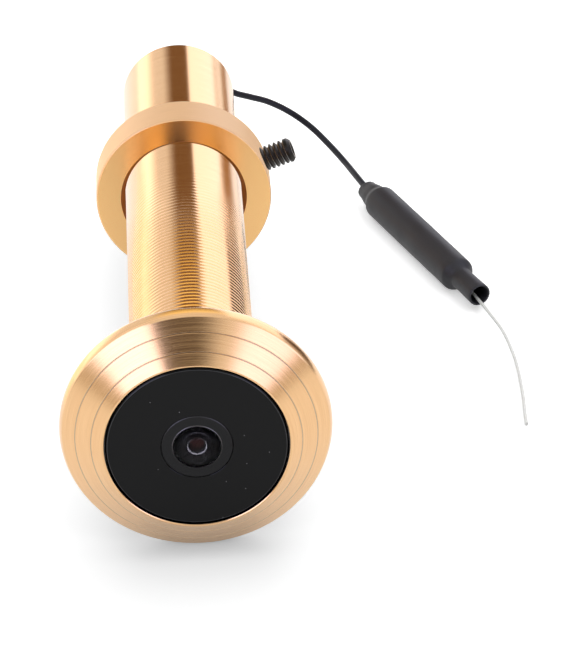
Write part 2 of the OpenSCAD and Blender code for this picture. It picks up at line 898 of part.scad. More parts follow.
// Shrunk tube over the antenna: a closed stub, the body and an open stub that flares
module antenna_shrink_tube() {
    color("#3A3838")
    on_antenna() turned([
        [coax_bore_r, 0],
        [near_stub_r, 0],
        [near_stub_r, body_start],
        [antenna_r - shrink_wall, body_start + shoulder_l / 2],
        [antenna_r, body_start + shoulder_l],
        [antenna_r, body_end - shoulder_l],
        [antenna_r - shrink_wall, body_end - shoulder_l / 2],
        [far_stub_r, body_end],
        [mouth_r, antenna_end],
        [mouth_r - shrink_wall, antenna_end],
        [far_stub_r - shrink_wall, body_end - shoulder_l / 2],
        [sleeve_r + sleeve_gap, sleeve_end + sleeve_gap],
        [sleeve_r + sleeve_gap, sleeve_start - sleeve_gap],
        [coax_bore_r, sleeve_start - sleeve_gap]
    ]);
}

// Metal sleeve inside the shrunk tube
module antenna_sleeve() {
    color("#B5974C")
    on_antenna() turned([
        [sleeve_bore_r, sleeve_start],
        [sleeve_r, sleeve_start],
        [sleeve_r, sleeve_end],
        [sleeve_bore_r, sleeve_end]
    ]);
}

// Ferrule that joins the lead's braid to the sleeve
module antenna_ferrule() {
    color("#B5974C")
    on_antenna() turned([
        [coax_bore_r, ferrule_start],
        [sleeve_bore_r - sleeve_gap, ferrule_start],
        [sleeve_bore_r - sleeve_gap, sleeve_end],
        [coax_bore_r, sleeve_end]
    ]);
}

// Bare wire from the lead's end, out of the open stub and down to the table
module antenna_wire() {
    inside = [for (s = [0, wire_d, shoulder_l * 2]) antenna_start + antenna_axis * (sleeve_end + s)];
    outside = [for (p = wire_route) antenna_start + p];
    color("#D8D8D4")
    tube(led(concat(inside, outside), 3), wire_r, 8);
}

head_bezel();
front_window();
window_adhesive_ring();
lens_barrel();
front_lens();
lens_spacer_ring();
inner_lens();
lens_retaining_ring();
lens_holder();
infrared_filter();
image_sensor();
sensor_board();
barrel();
insulating_liner();
main_board();
flat_cable();
processor();
memory_chip();
microphone();
radio_shield();
coax_connector();
coax_inner_lead();
reset_switch();
reset_button();
power_socket();
power_contact_tongue();
rear_cap();
coax_grommet();
clamp_collar();
set_screw();
antenna_coax();
antenna_shrink_tube();
antenna_sleeve();
antenna_ferrule();
antenna_wire();
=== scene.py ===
import math
import bmesh
import bpy
from mathutils import Matrix, Quaternion, Vector, noise


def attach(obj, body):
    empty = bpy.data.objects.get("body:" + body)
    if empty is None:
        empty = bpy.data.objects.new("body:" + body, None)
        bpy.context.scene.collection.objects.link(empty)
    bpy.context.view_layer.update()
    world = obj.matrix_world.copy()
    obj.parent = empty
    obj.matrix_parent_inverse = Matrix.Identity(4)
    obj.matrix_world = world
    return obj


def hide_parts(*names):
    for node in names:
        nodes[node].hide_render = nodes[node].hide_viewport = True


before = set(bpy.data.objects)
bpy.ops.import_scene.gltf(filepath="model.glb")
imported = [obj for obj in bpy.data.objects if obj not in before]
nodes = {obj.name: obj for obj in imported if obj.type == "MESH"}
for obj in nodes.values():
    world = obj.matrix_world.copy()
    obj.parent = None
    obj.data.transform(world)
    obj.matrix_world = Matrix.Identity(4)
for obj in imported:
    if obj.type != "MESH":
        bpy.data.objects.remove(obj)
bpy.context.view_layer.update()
scene = bpy.context.scene
scene.view_settings.view_transform = "Standard"
scene.cycles.caustics_reflective = False  # the metal throws no spots of light on the table
mm = 0.001
print("frame loaded:", len(nodes), "nodes")


def linear(hexColour):  # sRGB hex to the linear colour that a socket takes
    parts = [int(hexColour[i:i + 2], 16) / 255 for i in (1, 3, 5)]
    return (*[c / 12.92 if c <= 0.04045 else ((c + 0.055) / 1.055) ** 2.4 for c in parts], 1)


def addNode(tree, kind, inputs=None, **settings):  # one node, its settings and what feeds it
    node = tree.nodes.new(kind)
    for name, value in settings.items():
        setattr(node, name, value)
    for socket, value in (inputs or {}).items():
        if isinstance(value, bpy.types.NodeSocket):
            tree.links.new(value, node.inputs[socket])
        else:
            node.inputs[socket].default_value = value
    return node


def startMaterial(name, constants):  # a Principled shader with its constant sockets
    material = bpy.data.materials.new(name)
    material.use_nodes = True
    shader = material.node_tree.nodes["Principled BSDF"]
    for socket, value in constants.items():
        shader.inputs[socket].default_value = value
    return material, material.node_tree, shader


def arcPoints(centre, radius, start, end, steps=8):  # degrees, in the profile's plane
    angles = [math.radians(start + (end - start) * i / steps) for i in range(steps + 1)]
    return [(centre[0] + radius * math.cos(a), centre[1] + radius * math.sin(a)) for a in angles]


def newObject(name, build, sharpAngle=26, recalc=True):  # mesh object at the origin, in metres
    if recalc:
        bmesh.ops.recalc_face_normals(build, faces=build.faces[:])
    mesh = bpy.data.meshes.new(name)
    build.to_mesh(mesh)
    build.free()
    mesh.shade_smooth()
    mesh.set_sharp_from_angle(angle=math.radians(sharpAngle))
    piece = bpy.data.objects.new(name, mesh)
    scene.collection.objects.link(piece)
    return piece


def skinRings(build, uvLayer, rings, lengths, sides):
    # Faces from ring to ring, with UV from the step round them and the length along. One vertex is a pole.
    for k in range(len(lengths) - 1):
        for i in range(sides):
            corners = {}
            for step, row in ((i, k), (i + 1, k), (i + 1, k + 1), (i, k + 1)):
                ring = rings[row % len(rings)]
                corners.setdefault(ring[step % len(ring)], (step / sides, lengths[row]))
            face = build.faces.new(list(corners))
            for corner, uv in zip(face.loops, corners.values()):
                corner[uvLayer].uv = uv


def turnPiece(name, profile, segments=192, place=None, shape=None, sharpAngle=26):
    # Turns a profile of (radius, distance) in mm about Y. A point on the axis becomes one vertex.
    onAxis = 1e-6  # mm, a radius that counts as none
    build = bmesh.new()
    uvLayer = build.loops.layers.uv.new("turning")
    rings, lengths = [], [0]
    for k, (radius, along) in enumerate(profile):
        if k:
            lengths.append(lengths[-1] + math.dist(profile[k - 1], profile[k]))
        ring = []
        for i in range(segments if radius > onAxis else 1):
            turn = 2 * math.pi * i / segments + math.pi  # the seam is underneath
            point = Vector((radius * math.sin(turn), along, radius * math.cos(turn)))
            if shape:
                point = shape(point, turn, k)
            ring.append(build.verts.new(point * mm))
        rings.append(ring)
    if min(profile[0][0], profile[-1][0]) > onAxis:  # a ring-shaped solid closes on itself
        lengths.append(lengths[-1] + math.dist(profile[-1], profile[0]))
    skinRings(build, uvLayer, rings, lengths, segments)
    piece = newObject(name, build, sharpAngle)
    if place:
        piece.data.transform(place)
    return piece


def finishPiece(piece, body, material, replaced):  # puts a piece on its body, in a node's place
    if material:  # a threaded piece has its finish already
        piece.data.materials.append(material)
    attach(piece, body)
    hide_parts(replaced)
    return piece


# Camera: long lens, above the head and looking down the barrel
cameraView = {
    "spot": (-0.294, -311.068, 196.767),  # mm
    "aim": (10.708, 6.451, 7.134),
    "roll": -1.942,  # degrees
    "lens": 185.53,
    "sensor": 36,
    "clip": (0.01, 50),  # m
}


def makeCamera(view):
    data = bpy.data.cameras.new("camera")
    data.lens = view["lens"]
    data.sensor_width = view["sensor"]
    camera = bpy.data.objects.new("camera", data)
    scene.collection.objects.link(camera)
    spot = Vector(view["spot"]) * mm
    look = (Vector(view["aim"]) * mm - spot).to_track_quat("-Z", "Y")
    camera.rotation_mode = "QUATERNION"
    camera.rotation_quaternion = look @ Quaternion((0, 0, 1), math.radians(view["roll"]))
    camera.location = spot
    data.clip_start, data.clip_end = view["clip"]
    scene.camera = camera


makeCamera(cameraView)
print("camera made")


# Finishes
def axisReach(tree, place):  # distance from the barrel's axis
    flat = addNode(tree, "ShaderNodeVectorMath", {0: place, 1: (1, 0, 1)}, operation="MULTIPLY").outputs[0]
    return addNode(tree, "ShaderNodeVectorMath", {0: flat}, operation="LENGTH").outputs["Value"]


def grainedFinish(name, look):  # two tones, roughness and a relief; the grain and its clouds are in mm
    material, tree, shader = startMaterial(name, look["constants"])
    low, high = 0.7, 1.3  # where the sum of two noises mostly lies
    reliefShare = 0.3  # height of the relief as a share of the grain's width
    place = addNode(tree, "ShaderNodeTexCoord").outputs["Object"]
    grain, cloud = [addNode(tree, "ShaderNodeTexNoise", {
        "Vector": place, "Scale": 1 / (look[size] * mm), "Detail": detail,
    }).outputs["Fac"] for size, detail in (("grain", 4), ("cloud", 2))]
    both = addNode(tree, "ShaderNodeMath", {0: grain, 1: cloud}, operation="ADD").outputs[0]
    tone = addNode(tree, "ShaderNodeMapRange", {
        "Value": both, "From Min": low, "From Max": high,
    }).outputs[0]
    colour = addNode(tree, "ShaderNodeMix", {
        0: tone,
        6: linear(look["colours"][0]),  # a colour mix has its two colours at 6 and 7
        7: linear(look["colours"][1]),
    }, data_type="RGBA").outputs[2]
    metal = None
    for radius, half, bare in look.get("edges", ()):  # polished edges, by their distance from the axis
        onEdge = addNode(tree, "ShaderNodeMath", {
            0: axisReach(tree, place), 1: radius * mm, 2: half * mm,
        }, operation="COMPARE").outputs[0]
        colour = addNode(tree, "ShaderNodeMix", {
            0: onEdge, 6: colour, 7: linear(bare),
        }, data_type="RGBA").outputs[2]
        if metal:
            onEdge = addNode(tree, "ShaderNodeMath", {0: metal, 1: onEdge}, operation="ADD").outputs[0]
        metal = onEdge
    if metal:
        tree.links.new(metal, shader.inputs["Metallic"])
    rough = addNode(tree, "ShaderNodeMapRange", {
        "Value": both,
        "From Min": low,
        "From Max": high,
        "To Min": look["roughness"][0],
        "To Max": look["roughness"][1],
    }).outputs[0]
    relief = addNode(tree, "ShaderNodeBump", {
        "Height": grain, "Strength": look["relief"], "Distance": look["grain"] * mm * reliefShare,
    }).outputs["Normal"]
    tree.links.new(colour, shader.inputs["Base Color"])
    tree.links.new(rough, shader.inputs["Roughness"])
    tree.links.new(relief, shader.inputs["Normal"])
    return material


def turnedGold(name, look):  # anodised aluminium off the lathe: long fine streaks round the axis
    material, tree, shader = startMaterial(name, look["constants"])
    low, high = 0.35, 0.65  # where the noise mostly lies
    faceBand = 0.01  # mm either side of the face
    reliefShare = 0.2  # height of the relief as a share of the streak's width
    long, wide = look["streak"]
    speckleSize, speckleShare = look["speckle"]
    turning = addNode(tree, "ShaderNodeUVMap", uv_map="turning").outputs["UV"]
    stretched = addNode(tree, "ShaderNodeMapping", {
        "Vector": turning,
        "Scale": (look["turn"] / long, 1 / wide, 1),
    }).outputs[0]
    streak = addNode(tree, "ShaderNodeTexNoise", {
        "Vector": stretched, "Scale": 1, "Detail": 3,
    }, noise_dimensions="2D").outputs["Fac"]
    place = addNode(tree, "ShaderNodeTexCoord").outputs["Object"]
    speckle = addNode(tree, "ShaderNodeTexNoise", {
        "Vector": place, "Scale": 1 / (speckleSize * mm), "Detail": 2,
    }).outputs["Fac"]
    both = addNode(tree, "ShaderNodeMix", {0: speckleShare, 2: streak, 3: speckle}).outputs[0]
    tone = addNode(tree, "ShaderNodeMapRange", {
        "Value": both, "From Min": low, "From Max": high,
    }).outputs[0]
    rough = addNode(tree, "ShaderNodeMapRange", {
        "Value": both,
        "From Min": low,
        "From Max": high,
        "To Min": look["roughness"][0],
        "To Max": look["roughness"][1],
    }).outputs[0]
    masks = [(tone, look["colours"][1])]  # where each tone shows over the first one
    if "bore" in look:  # painted shade: darker inside the bore
        radius, end, paintedShadeTone = look["bore"]
        along = addNode(tree, "ShaderNodeSeparateXYZ", {0: place}).outputs[1]
        within = addNode(tree, "ShaderNodeMath", {
            0: axisReach(tree, place), 1: radius * mm,
        }, operation="LESS_THAN").outputs[0]
        ahead = addNode(tree, "ShaderNodeMath", {0: along, 1: end * mm}, operation="LESS_THAN").outputs[0]
        inside = addNode(tree, "ShaderNodeMath", {0: within, 1: ahead}, operation="MULTIPLY").outputs[0]
        masks.append((inside, paintedShadeTone))
    for radius, half, grooveShadeTone in look.get("paintedGrooveShade", ()):  # painted shade: the grooves are drawn a little grey
        inLine = addNode(tree, "ShaderNodeMath", {
            0: axisReach(tree, place), 1: radius * mm, 2: half * mm,
        }, operation="COMPARE").outputs[0]
        masks.append((inLine, grooveShadeTone))
    if "face" in look:  # a flat face that was turned last and shines more
        spot, faceRough, faceTone = look["face"]
        along = addNode(tree, "ShaderNodeSeparateXYZ", {0: place}).outputs[1]
        onFace = addNode(tree, "ShaderNodeMath", {
            0: along, 1: spot * mm, 2: faceBand * mm,
        }, operation="COMPARE").outputs[0]
        rough = addNode(tree, "ShaderNodeMix", {0: onFace, 2: rough, 3: faceRough}).outputs[0]
        masks.append((onFace, faceTone))
    colour = linear(look["colours"][0])
    for mask, shown in masks:
        colour = addNode(tree, "ShaderNodeMix", {
            0: mask, 6: colour, 7: linear(shown),
        }, data_type="RGBA").outputs[2]
    relief = addNode(tree, "ShaderNodeBump", {
        "Height": both, "Strength": look["relief"], "Distance": wide * mm * reliefShare,
    }).outputs["Normal"]
    grainLine = addNode(tree, "ShaderNodeTangent", direction_type="UV_MAP", uv_map="turning")
    tree.links.new(colour, shader.inputs["Base Color"])
    tree.links.new(rough, shader.inputs["Roughness"])
    tree.links.new(relief, shader.inputs["Normal"])
    tree.links.new(grainLine.outputs[0], shader.inputs["Tangent"])
    return material


headGold = turnedGold("anodisedAluminiumTurned", {  # satin gold, its highlights fanned out by the turning
    "constants": {
        "Metallic": 1, "Anisotropic": 0.75, "Anisotropic Rotation": 0.25,
        "Coat Weight": 1, "Coat Roughness": 0.2, "Coat IOR": 1.75,  # clear oxide layer
    },
    "colours": ("#DFAC72", "#E8B980"),
    "roughness": (0.2, 0.26),
    "turn": 80,  # mm round the cone
    "streak": (9, 0.12),  # mm long and wide, drawn coarser than the real feed marks so that they show
    "speckle": (0.1, 0.2),  # mm, share
    "relief": 0.04,
    "bore": (9.96, -0.05, "#0A0A0B"),  # mm: radius and rear end, and the near-black of painted shade in the window seat and on the lip's inner wall
    "paintedGrooveShade": [(13.035, 0.045, "#B0977A"), (11.335, 0.045, "#B0977A")],  # mm: radius and half width of the grooves, and the grey of their painted shade
})
barrelGold = turnedGold("anodisedAluminiumThreaded", {  # brighter gold, with the light broken by the thread
    "constants": {
        "Metallic": 1, "Anisotropic": 0.9, "Anisotropic Rotation": 0.25,
        "Coat Weight": 0.2, "Coat Roughness": 0.1, "Coat IOR": 1.6,
    },
    "colours": ("#E4B27E", "#EBBC8A"),
    "roughness": (0.12, 0.16),
    "turn": 44,
    "streak": (6, 0.15),
    "speckle": (0.12, 0.2),
    "relief": 0.02,
})
collarGold = turnedGold("anodisedAluminiumBlasted", {  # finely blasted before anodising: soft and even
    "constants": {
        "Metallic": 1, "Coat Weight": 0.5, "Coat Roughness": 0.45, "Coat IOR": 1.7,
    },
    "colours": ("#E0BF92", "#E6C79B"),
    "roughness": (0.78, 0.86),
    "face": (51, 0.22, "#F6C27E"),  # mm along the barrel, roughness, tone
    "bore": (7.59, 60, "#A0641C"),  # painted shade: darker in the bore and its lead-in cones, where gold lights gold
    "turn": 66,
    "streak": (3, 0.3),
    "speckle": (0.1, 0.5),
    "relief": 0.04,
})
shrinkFilm = grainedFinish("polyolefinShrunk", {  # shrunk tubing: matte, with a faint waxy sheen
    "constants": {"Specular IOR Level": 0.4, "IOR": 1.49},
    "colours": ("#1A1A1F", "#222228"),
    "roughness": (0.45, 0.56),
    "grain": 0.25, "cloud": 3, "relief": 0.12,
})
leadJacket = grainedFinish("fluoropolymerJacket", {  # extruded jacket: smooth blue-black, soft gloss
    "constants": {"Specular IOR Level": 0.4, "IOR": 1.34},
    "colours": ("#14141D", "#1C1C27"),
    "roughness": (0.32, 0.42),
    "grain": 0.2, "cloud": 4, "relief": 0.05,
})
milkyCore = grainedFinish("fluoropolymerCore", {  # the lead's bare core: milky, smooth and pale grey
    "constants": {"Specular IOR Level": 0.4, "IOR": 1.34},
    "colours": ("#E4E4E2", "#EFEFEC"),
    "roughness": (0.3, 0.4),
    "grain": 0.3, "cloud": 4, "relief": 0.04,
})
print("finishes of the antenna and the gold made")


# Antenna and its lead
leadRun = {
    "diameter": 0.81,
    "exit": (3.2, 80.6, 1.4),  # tip of the grommet
    "route": [
        (0, 0, 0), (0, 1, 0), (0.2, 2.4, -0.5), (0.9, 3.6, -1.7), (2.2, 4.5, -3.4), (4, 5.3, -5.2),
        (6.1, 6.4, -6.5), (8.6, 7.6, -8), (11.4, 8.2, -10), (14, 7, -11.7), (16.2, 4, -12.9),
        (18, 0.5, -13.7), (19.2, -3.2, -13.8), (20.4, -6.7, -14),
    ],
}
wireRun = {
    "diameter": 0.4,
    "inside": ((0, 0), (0.4, 0), (2.4, 0.4)),  # along the antenna from the sleeve's end, and below it
    "route": [
        (11.8, -28.9, -0.75), (12.7, -31.5, -0.95), (13.7, -34.9, -1.1), (14.4, -39.2, -1.4),
        (14.7, -43.1, -1.7), (14.7, -48.4, -1.9), (14.5, -52.2, -1.9), (14.4, -54.8, -1.9),
    ],
}
antenna = {
    "heading": 202.4,  # degrees
    "nearStub": (1.28, 1.62, 2.8),  # radius at its end and at the body, length
    "body": (2.15, 23),  # radius, length
    "farStub": (1.36, 1.43, 4.8),  # radius at the body and at its mouth, length
    "shoulder": 1.2,
    "runOut": (0.3, 0.2),  # how far the shoulders run out over the near and the far stub
    "lip": 0.14,  # rounding of the cut ends
    "wall": 0.28,
    "throat": (0.4, 1.5),  # share of the mouth's flare that the bore has, this far inside it
    "bore": 0.435,
    "pocket": (1.87, 0.03),  # radius of the room for the sleeve, and the gap at its ends
    "flatten": 0.08,  # of the near stub, pressed flat at its end
    "lumps": (0.03, 0.45),  # height, how many to the mm
}
sleeveStart = antenna["nearStub"][2] + antenna["shoulder"]
sleeveEnd = antenna["nearStub"][2] + antenna["body"][1] - antenna["shoulder"]
leadExit = Vector(leadRun["exit"])
antennaStart = leadExit + Vector(leadRun["route"][-1])
antennaTurn = Matrix.Rotation(math.radians(antenna["heading"]), 4, "Z")
antennaLine = antennaTurn.to_3x3() @ Vector((0, 1, 0))


def smoothPath(points, steps):  # leaves the first point straight and is smooth from the second on
    knots = [2 * points[1] - points[2], *points[1:], 2 * points[-1] - points[-2]]
    path = [points[0]]
    for a, b, c, d in zip(knots, knots[1:], knots[2:], knots[3:]):
        for k in range(steps):
            t = k / steps
            path.append(0.5 * (2 * b + (c - a) * t + (2 * a - 5 * b + 4 * c - d) * t ** 2
                               + (3 * b - a - 3 * c + d) * t ** 3))
    return path + [points[-1]]


def sweepTube(name, path, radius, sides):  # round tube along a path
    build = bmesh.new()
    uvLayer = build.loops.layers.uv.new("along")
    rings, lengths = [], [0]
    side = Vector((0, 0, 1))
    for k, point in enumerate(path):
        heading = (path[min(k + 1, len(path) - 1)] - path[max(k - 1, 0)]).normalized()
        side = (side - heading * side.dot(heading)).normalized()
        across = heading.cross(side)
        if k:
            lengths.append(lengths[-1] + (point - path[k - 1]).length)
        ring = []
        for i in range(sides):
            turn = 2 * math.pi * i / sides
            outward = side * math.cos(turn) + across * math.sin(turn)
            ring.append(build.verts.new((point + radius * outward) * mm))
        rings.append(ring)
    skinRings(build, uvLayer, rings, lengths, sides)
    build.faces.new(rings[0][::-1])
    build.faces.new(rings[-1])
    return newObject(name, build, sharpAngle=40)


def ease(t):  # S-curve from 0 to 1
    return 3 * t ** 2 - 2 * t ** 3


def shrunkTube():
    endR, neckR, nearL = antenna["nearStub"]
    bodyR, bodyL = antenna["body"]
    farR, mouthR, farL = antenna["farStub"]
    wall, lip, turnIn = antenna["wall"], antenna["lip"], antenna["shoulder"]
    pocketR, pocketGap = antenna["pocket"]
    nearOut, farOut = antenna["runOut"]
    flareShare, throat = antenna["throat"]
    bodyEnd = nearL + bodyL
    tip = bodyEnd + farL
    profile = [(antenna["bore"], 0), (endR - lip, 0)]
    profile += arcPoints((endR - lip, lip), lip, -90, 0, 4)
    shoulderStart = nearL - nearOut
    for i in range(1, 7):  # the stub widens towards the body
        t = i / 7
        profile.append((endR + (neckR - endR) * ease(t), lip + (shoulderStart - lip) * t))
    for i in range(9):  # the tube follows the sleeve's end in an S
        t = i / 8
        profile.append((neckR + (bodyR - neckR) * ease(t), shoulderStart + (turnIn + nearOut) * t))
    profile += [(bodyR, nearL + turnIn + (bodyL - 2 * turnIn) * i / 24) for i in range(1, 24)]
    for i in range(9):
        t = i / 8
        profile.append((bodyR + (farR - bodyR) * ease(t), bodyEnd - turnIn + (turnIn + farOut) * t))
    for i in range(1, 7):  # the open stub flares a little
        t = i / 6
        profile.append((farR + (mouthR - farR) * t ** 2, bodyEnd + farOut + (farL - farOut - lip) * t))
    profile += arcPoints((mouthR - lip, tip - lip), lip, 0, 180, 6)[1:]
    profile += [(farR - wall + (mouthR - farR) * flareShare, tip - throat)]
    profile += [(farR - wall, bodyEnd - turnIn / 2)]
    profile += [(pocketR, sleeveEnd + pocketGap), (pocketR, sleeveStart - pocketGap)]
    profile += [(antenna["bore"], sleeveStart - pocketGap)]

    def soften(point, turn, row):  # shrunk film is never quite round
        outside = math.hypot(point.x, point.z)
        if outside < farR - wall:
            return point
        height, spacing = antenna["lumps"]
        lump = noise.noise(point * spacing) * height
        squash = antenna["flatten"] * (1 - min(point.y / nearL, 1))
        scale = 1 + lump / outside
        return Vector((point.x * scale * (1 + squash / 2), point.y, point.z * scale * (1 - squash)))

    place = Matrix.Translation(antennaStart * mm) @ antennaTurn
    return turnPiece("antenna_heatshrink", profile, 96, place, soften, sharpAngle=40)


leadPoints = smoothPath([leadExit + Vector(p) for p in leadRun["route"]], steps=8)
leadPoints += [antennaStart + antennaLine * sleeveEnd * k / 8 for k in range(1, 9)]
lead = sweepTube("antenna_lead", leadPoints, leadRun["diameter"] / 2, sides=20)
finishPiece(lead, "viewer", leadJacket, "antenna_coax")

wirePoints = [
    antennaStart + antennaLine * (sleeveEnd + step) - Vector((0, 0, drop))
    for step, drop in wireRun["inside"]
]
wirePoints = smoothPath(wirePoints + [antennaStart + Vector(p) for p in wireRun["route"]], steps=12)
wire = sweepTube("antenna_bare_wire", wirePoints, wireRun["diameter"] / 2, sides=20)
finishPiece(wire, "viewer", milkyCore, "antenna_wire")

heatshrink = finishPiece(shrunkTube(), "viewer", shrinkFilm, "antenna_shrink_tube")


def pathLength(path):  # m
    return sum((b - a).length for a, b in zip(path, path[1:])) * mm


lengths = [round(pathLength(path), 4) for path in (leadPoints, wirePoints)]
print("antenna made: lead", lengths[0], "m, wire", lengths[1], "m")


# Head: turned rim, cone with two fine grooves, lip round the window
head = {
    "radius": 14.75,
    "depth": 4.75,
    "rim": 0.6,  # radius of the rear rounding
    "band": (1.9, 36.12),  # radius and sweep of the rounded front band
    "lip": (9.95, 0.2, 0.08),  # opening radius, lip width, inner bevel
    "grooves": (13.035, 11.335),  # their radii
    "groove": (0.15, 0.06),  # width and depth, shallower than the solid's so that they stay hairlines
    "grooveSection": (  # shares of the width and of the depth
        (-0.9, 0), (-0.6, 0), (-0.5, 0.06), (-0.15, 0.94), (0.15, 0.94), (0.5, 0.06), (0.6, 0), (0.9, 0),
    ),
    "rows": (0.05, 0.06),  # close rows that keep the cone flat, at the band and at the lip
    "seat": (3.55, 4.63),  # depth of the window seat, radius of the nose hole
    "socket": (7.025, 1.6),  # radius and depth of the barrel's seat
}


def turnedHead():
    rim, (bandR, sweep) = head["rim"], head["band"]
    opening, lipW, lipEdge = head["lip"]
    (seatD, noseR), (socketR, socketD) = head["seat"], head["socket"]
    bandRow, lipRow = head["rows"]
    profile = [(socketR, 0)]
    profile += arcPoints((head["radius"] - rim, -rim), rim, 90, 0, 10)
    profile += arcPoints((head["radius"] - bandR, -rim), bandR, 0, -sweep, 10)[1:]
    shoulder, lip = Vector(profile[-1]), Vector((opening + lipW, -head["depth"]))
    slope = (lip - shoulder).normalized()
    profile.append(tuple(shoulder + slope * bandRow))
    inward = Vector((slope.y, -slope.x))  # square to the cone, into the metal
    if inward.y < 0:
        inward = -inward
    width, depth = head["groove"]
    for radius in head["grooves"]:
        centre = shoulder + slope * ((radius - shoulder.x) / slope.x)
        for share, cut in head["grooveSection"]:
            profile.append(tuple(centre + slope * width * share + inward * depth * cut))
    profile += [tuple(lip - slope * 2 * lipRow), tuple(lip - slope * lipRow)]
    profile += [(lip.x - lipRow / 2, lip.y), (opening + lipEdge, lip.y), (opening, lip.y + lipEdge)]
    profile += [(opening, -seatD), (noseR, -seatD), (noseR, -socketD), (socketR, -socketD)]
    return turnPiece("head_turned", profile, 256)


finishPiece(turnedHead(), "viewer", headGold, "head_bezel")
print("head made")


# Thread: cut into a turned blank by a rule
def threadTree():
    tree = bpy.data.node_groups.new("cutThread", "GeometryNodeTree")
    tree.interface.new_socket("Blank", in_out="INPUT", socket_type="NodeSocketGeometry")
    sizes = (
        "Pitch", "Depth", "Crest share", "Outer radius", "Start", "Full depth from", "Fades from", "Ends",
    )
    for size in sizes:
        tree.interface.new_socket(size, in_out="INPUT", socket_type="NodeSocketFloat")
    tree.interface.new_socket("Finish", in_out="INPUT", socket_type="NodeSocketMaterial")
    tree.interface.new_socket("Threaded", in_out="OUTPUT", socket_type="NodeSocketGeometry")
    given = addNode(tree, "NodeGroupInput").outputs
    place = addNode(tree, "GeometryNodeInputPosition").outputs[0]
    x, along, z = addNode(tree, "ShaderNodeSeparateXYZ", {0: place}).outputs
    flat = addNode(tree, "ShaderNodeCombineXYZ", {0: x, 2: z}).outputs[0]
    reach = addNode(tree, "ShaderNodeVectorMath", {0: flat}, operation="LENGTH").outputs["Value"]
    known = {"x": x, "along": along, "z": z, "reach": reach, **{size: given[size] for size in sizes}}
    for name, kind, *terms in (  # what is worked out, how, and from what
        ("turn", "ARCTAN2", "x", "z"),
        ("turns", "DIVIDE", "turn", 2 * math.pi),
        ("rows", "DIVIDE", "along", "Pitch"),
        ("phase", "SUBTRACT", "rows", "turns"),
        ("step", "FRACT", "phase"),
        ("swing", "MULTIPLY_ADD", "step", 2, -1),
        ("ridge", "ABSOLUTE", "swing"),
        ("groove", "SMOOTHSTEP", "ridge", "Crest share", 1),
        ("runIn", "SMOOTHSTEP", "along", "Start", "Full depth from"),
        ("runOut", "SMOOTHSTEP", "along", "Ends", "Fades from"),
        ("fade", "MULTIPLY", "runIn", "runOut"),
        ("share", "MULTIPLY", "groove", "fade"),
        ("cut", "MULTIPLY", "share", "Depth"),
        ("left", "SUBTRACT", "Outer radius", "cut"),
        ("radius", "MINIMUM", "reach", "left"),
    ):
        terms = [known.get(term, term) for term in terms]
        if kind == "SMOOTHSTEP":
            inputs = dict(zip(("Value", "From Min", "From Max"), terms))
            node = addNode(tree, "ShaderNodeMapRange", inputs, interpolation_type=kind)
        else:
            node = addNode(tree, "ShaderNodeMath", dict(enumerate(terms)), operation=kind)
        known[name] = node.outputs[0]
    outward = addNode(tree, "ShaderNodeVectorMath", {0: flat}, operation="NORMALIZE").outputs[0]
    across = addNode(tree, "ShaderNodeVectorMath", {
        0: outward, "Scale": known["radius"],
    }, operation="SCALE").outputs[0]
    height = addNode(tree, "ShaderNodeCombineXYZ", {1: along}).outputs[0]
    spot = addNode(tree, "ShaderNodeVectorMath", {0: across, 1: height}, operation="ADD").outputs[0]
    moved = addNode(tree, "GeometryNodeSetPosition", {"Geometry": given["Blank"], "Position": spot})
    real = addNode(tree, "GeometryNodeRealizeInstances", {0: moved.outputs[0]})
    dressed = addNode(tree, "GeometryNodeSetMaterial", {0: real.outputs[0], "Material": given["Finish"]})
    addNode(tree, "NodeGroupOutput", {0: dressed.outputs[0]})
    return tree


cutThread = threadTree()


def threadPiece(blank, sizes, finish):  # runs the thread rule on a blank and keeps the plain mesh
    modifier = blank.modifiers.new("thread", "NODES")
    modifier.node_group = cutThread
    for item in cutThread.interface.items_tree:
        if item.name in sizes:
            modifier[item.identifier] = sizes[item.name] * (1 if item.name == "Crest share" else mm)
        if item.name == "Finish":
            modifier[item.identifier] = finish
    bpy.context.view_layer.update()
    evaluated = blank.evaluated_get(bpy.context.evaluated_depsgraph_get())
    threaded = bpy.data.meshes.new_from_object(evaluated)
    blank.modifiers.remove(modifier)
    old = blank.data
    blank.data = threaded
    threaded.name = blank.name
    bpy.data.meshes.remove(old)
    return blank


barrel = {
    "radius": 7,
    "bore": 6,
    "front": -1.6,
    "end": 79,
    "bevel": 0.4,
    "rowsPerTurn": 8,  # rows of the blank for each turn of the thread
    "thread": {
        "Pitch": 0.7, "Depth": 0.1, "Crest share": 0.45, "Outer radius": 7,
        "Start": -0.8, "Full depth from": 0.2, "Fades from": 20, "Ends": 49,
    },
}


def threadedBarrel():
    thread, outer, bore, edge = barrel["thread"], barrel["radius"], barrel["bore"], barrel["bevel"]
    front, end = barrel["front"], barrel["end"]
    reach = thread["Ends"] - front
    rows = math.ceil(reach * barrel["rowsPerTurn"] / thread["Pitch"])
    profile = [(bore, front)]
    profile += [(outer, front + reach * i / rows) for i in range(rows + 1)]
    profile += [(outer, end - edge), (outer - edge, end), (bore, end)]
    return threadPiece(turnPiece("barrel_threaded", profile, 96), thread, barrelGold)


finishPiece(threadedBarrel(), "viewer", None, "barrel")
print("barrel made")


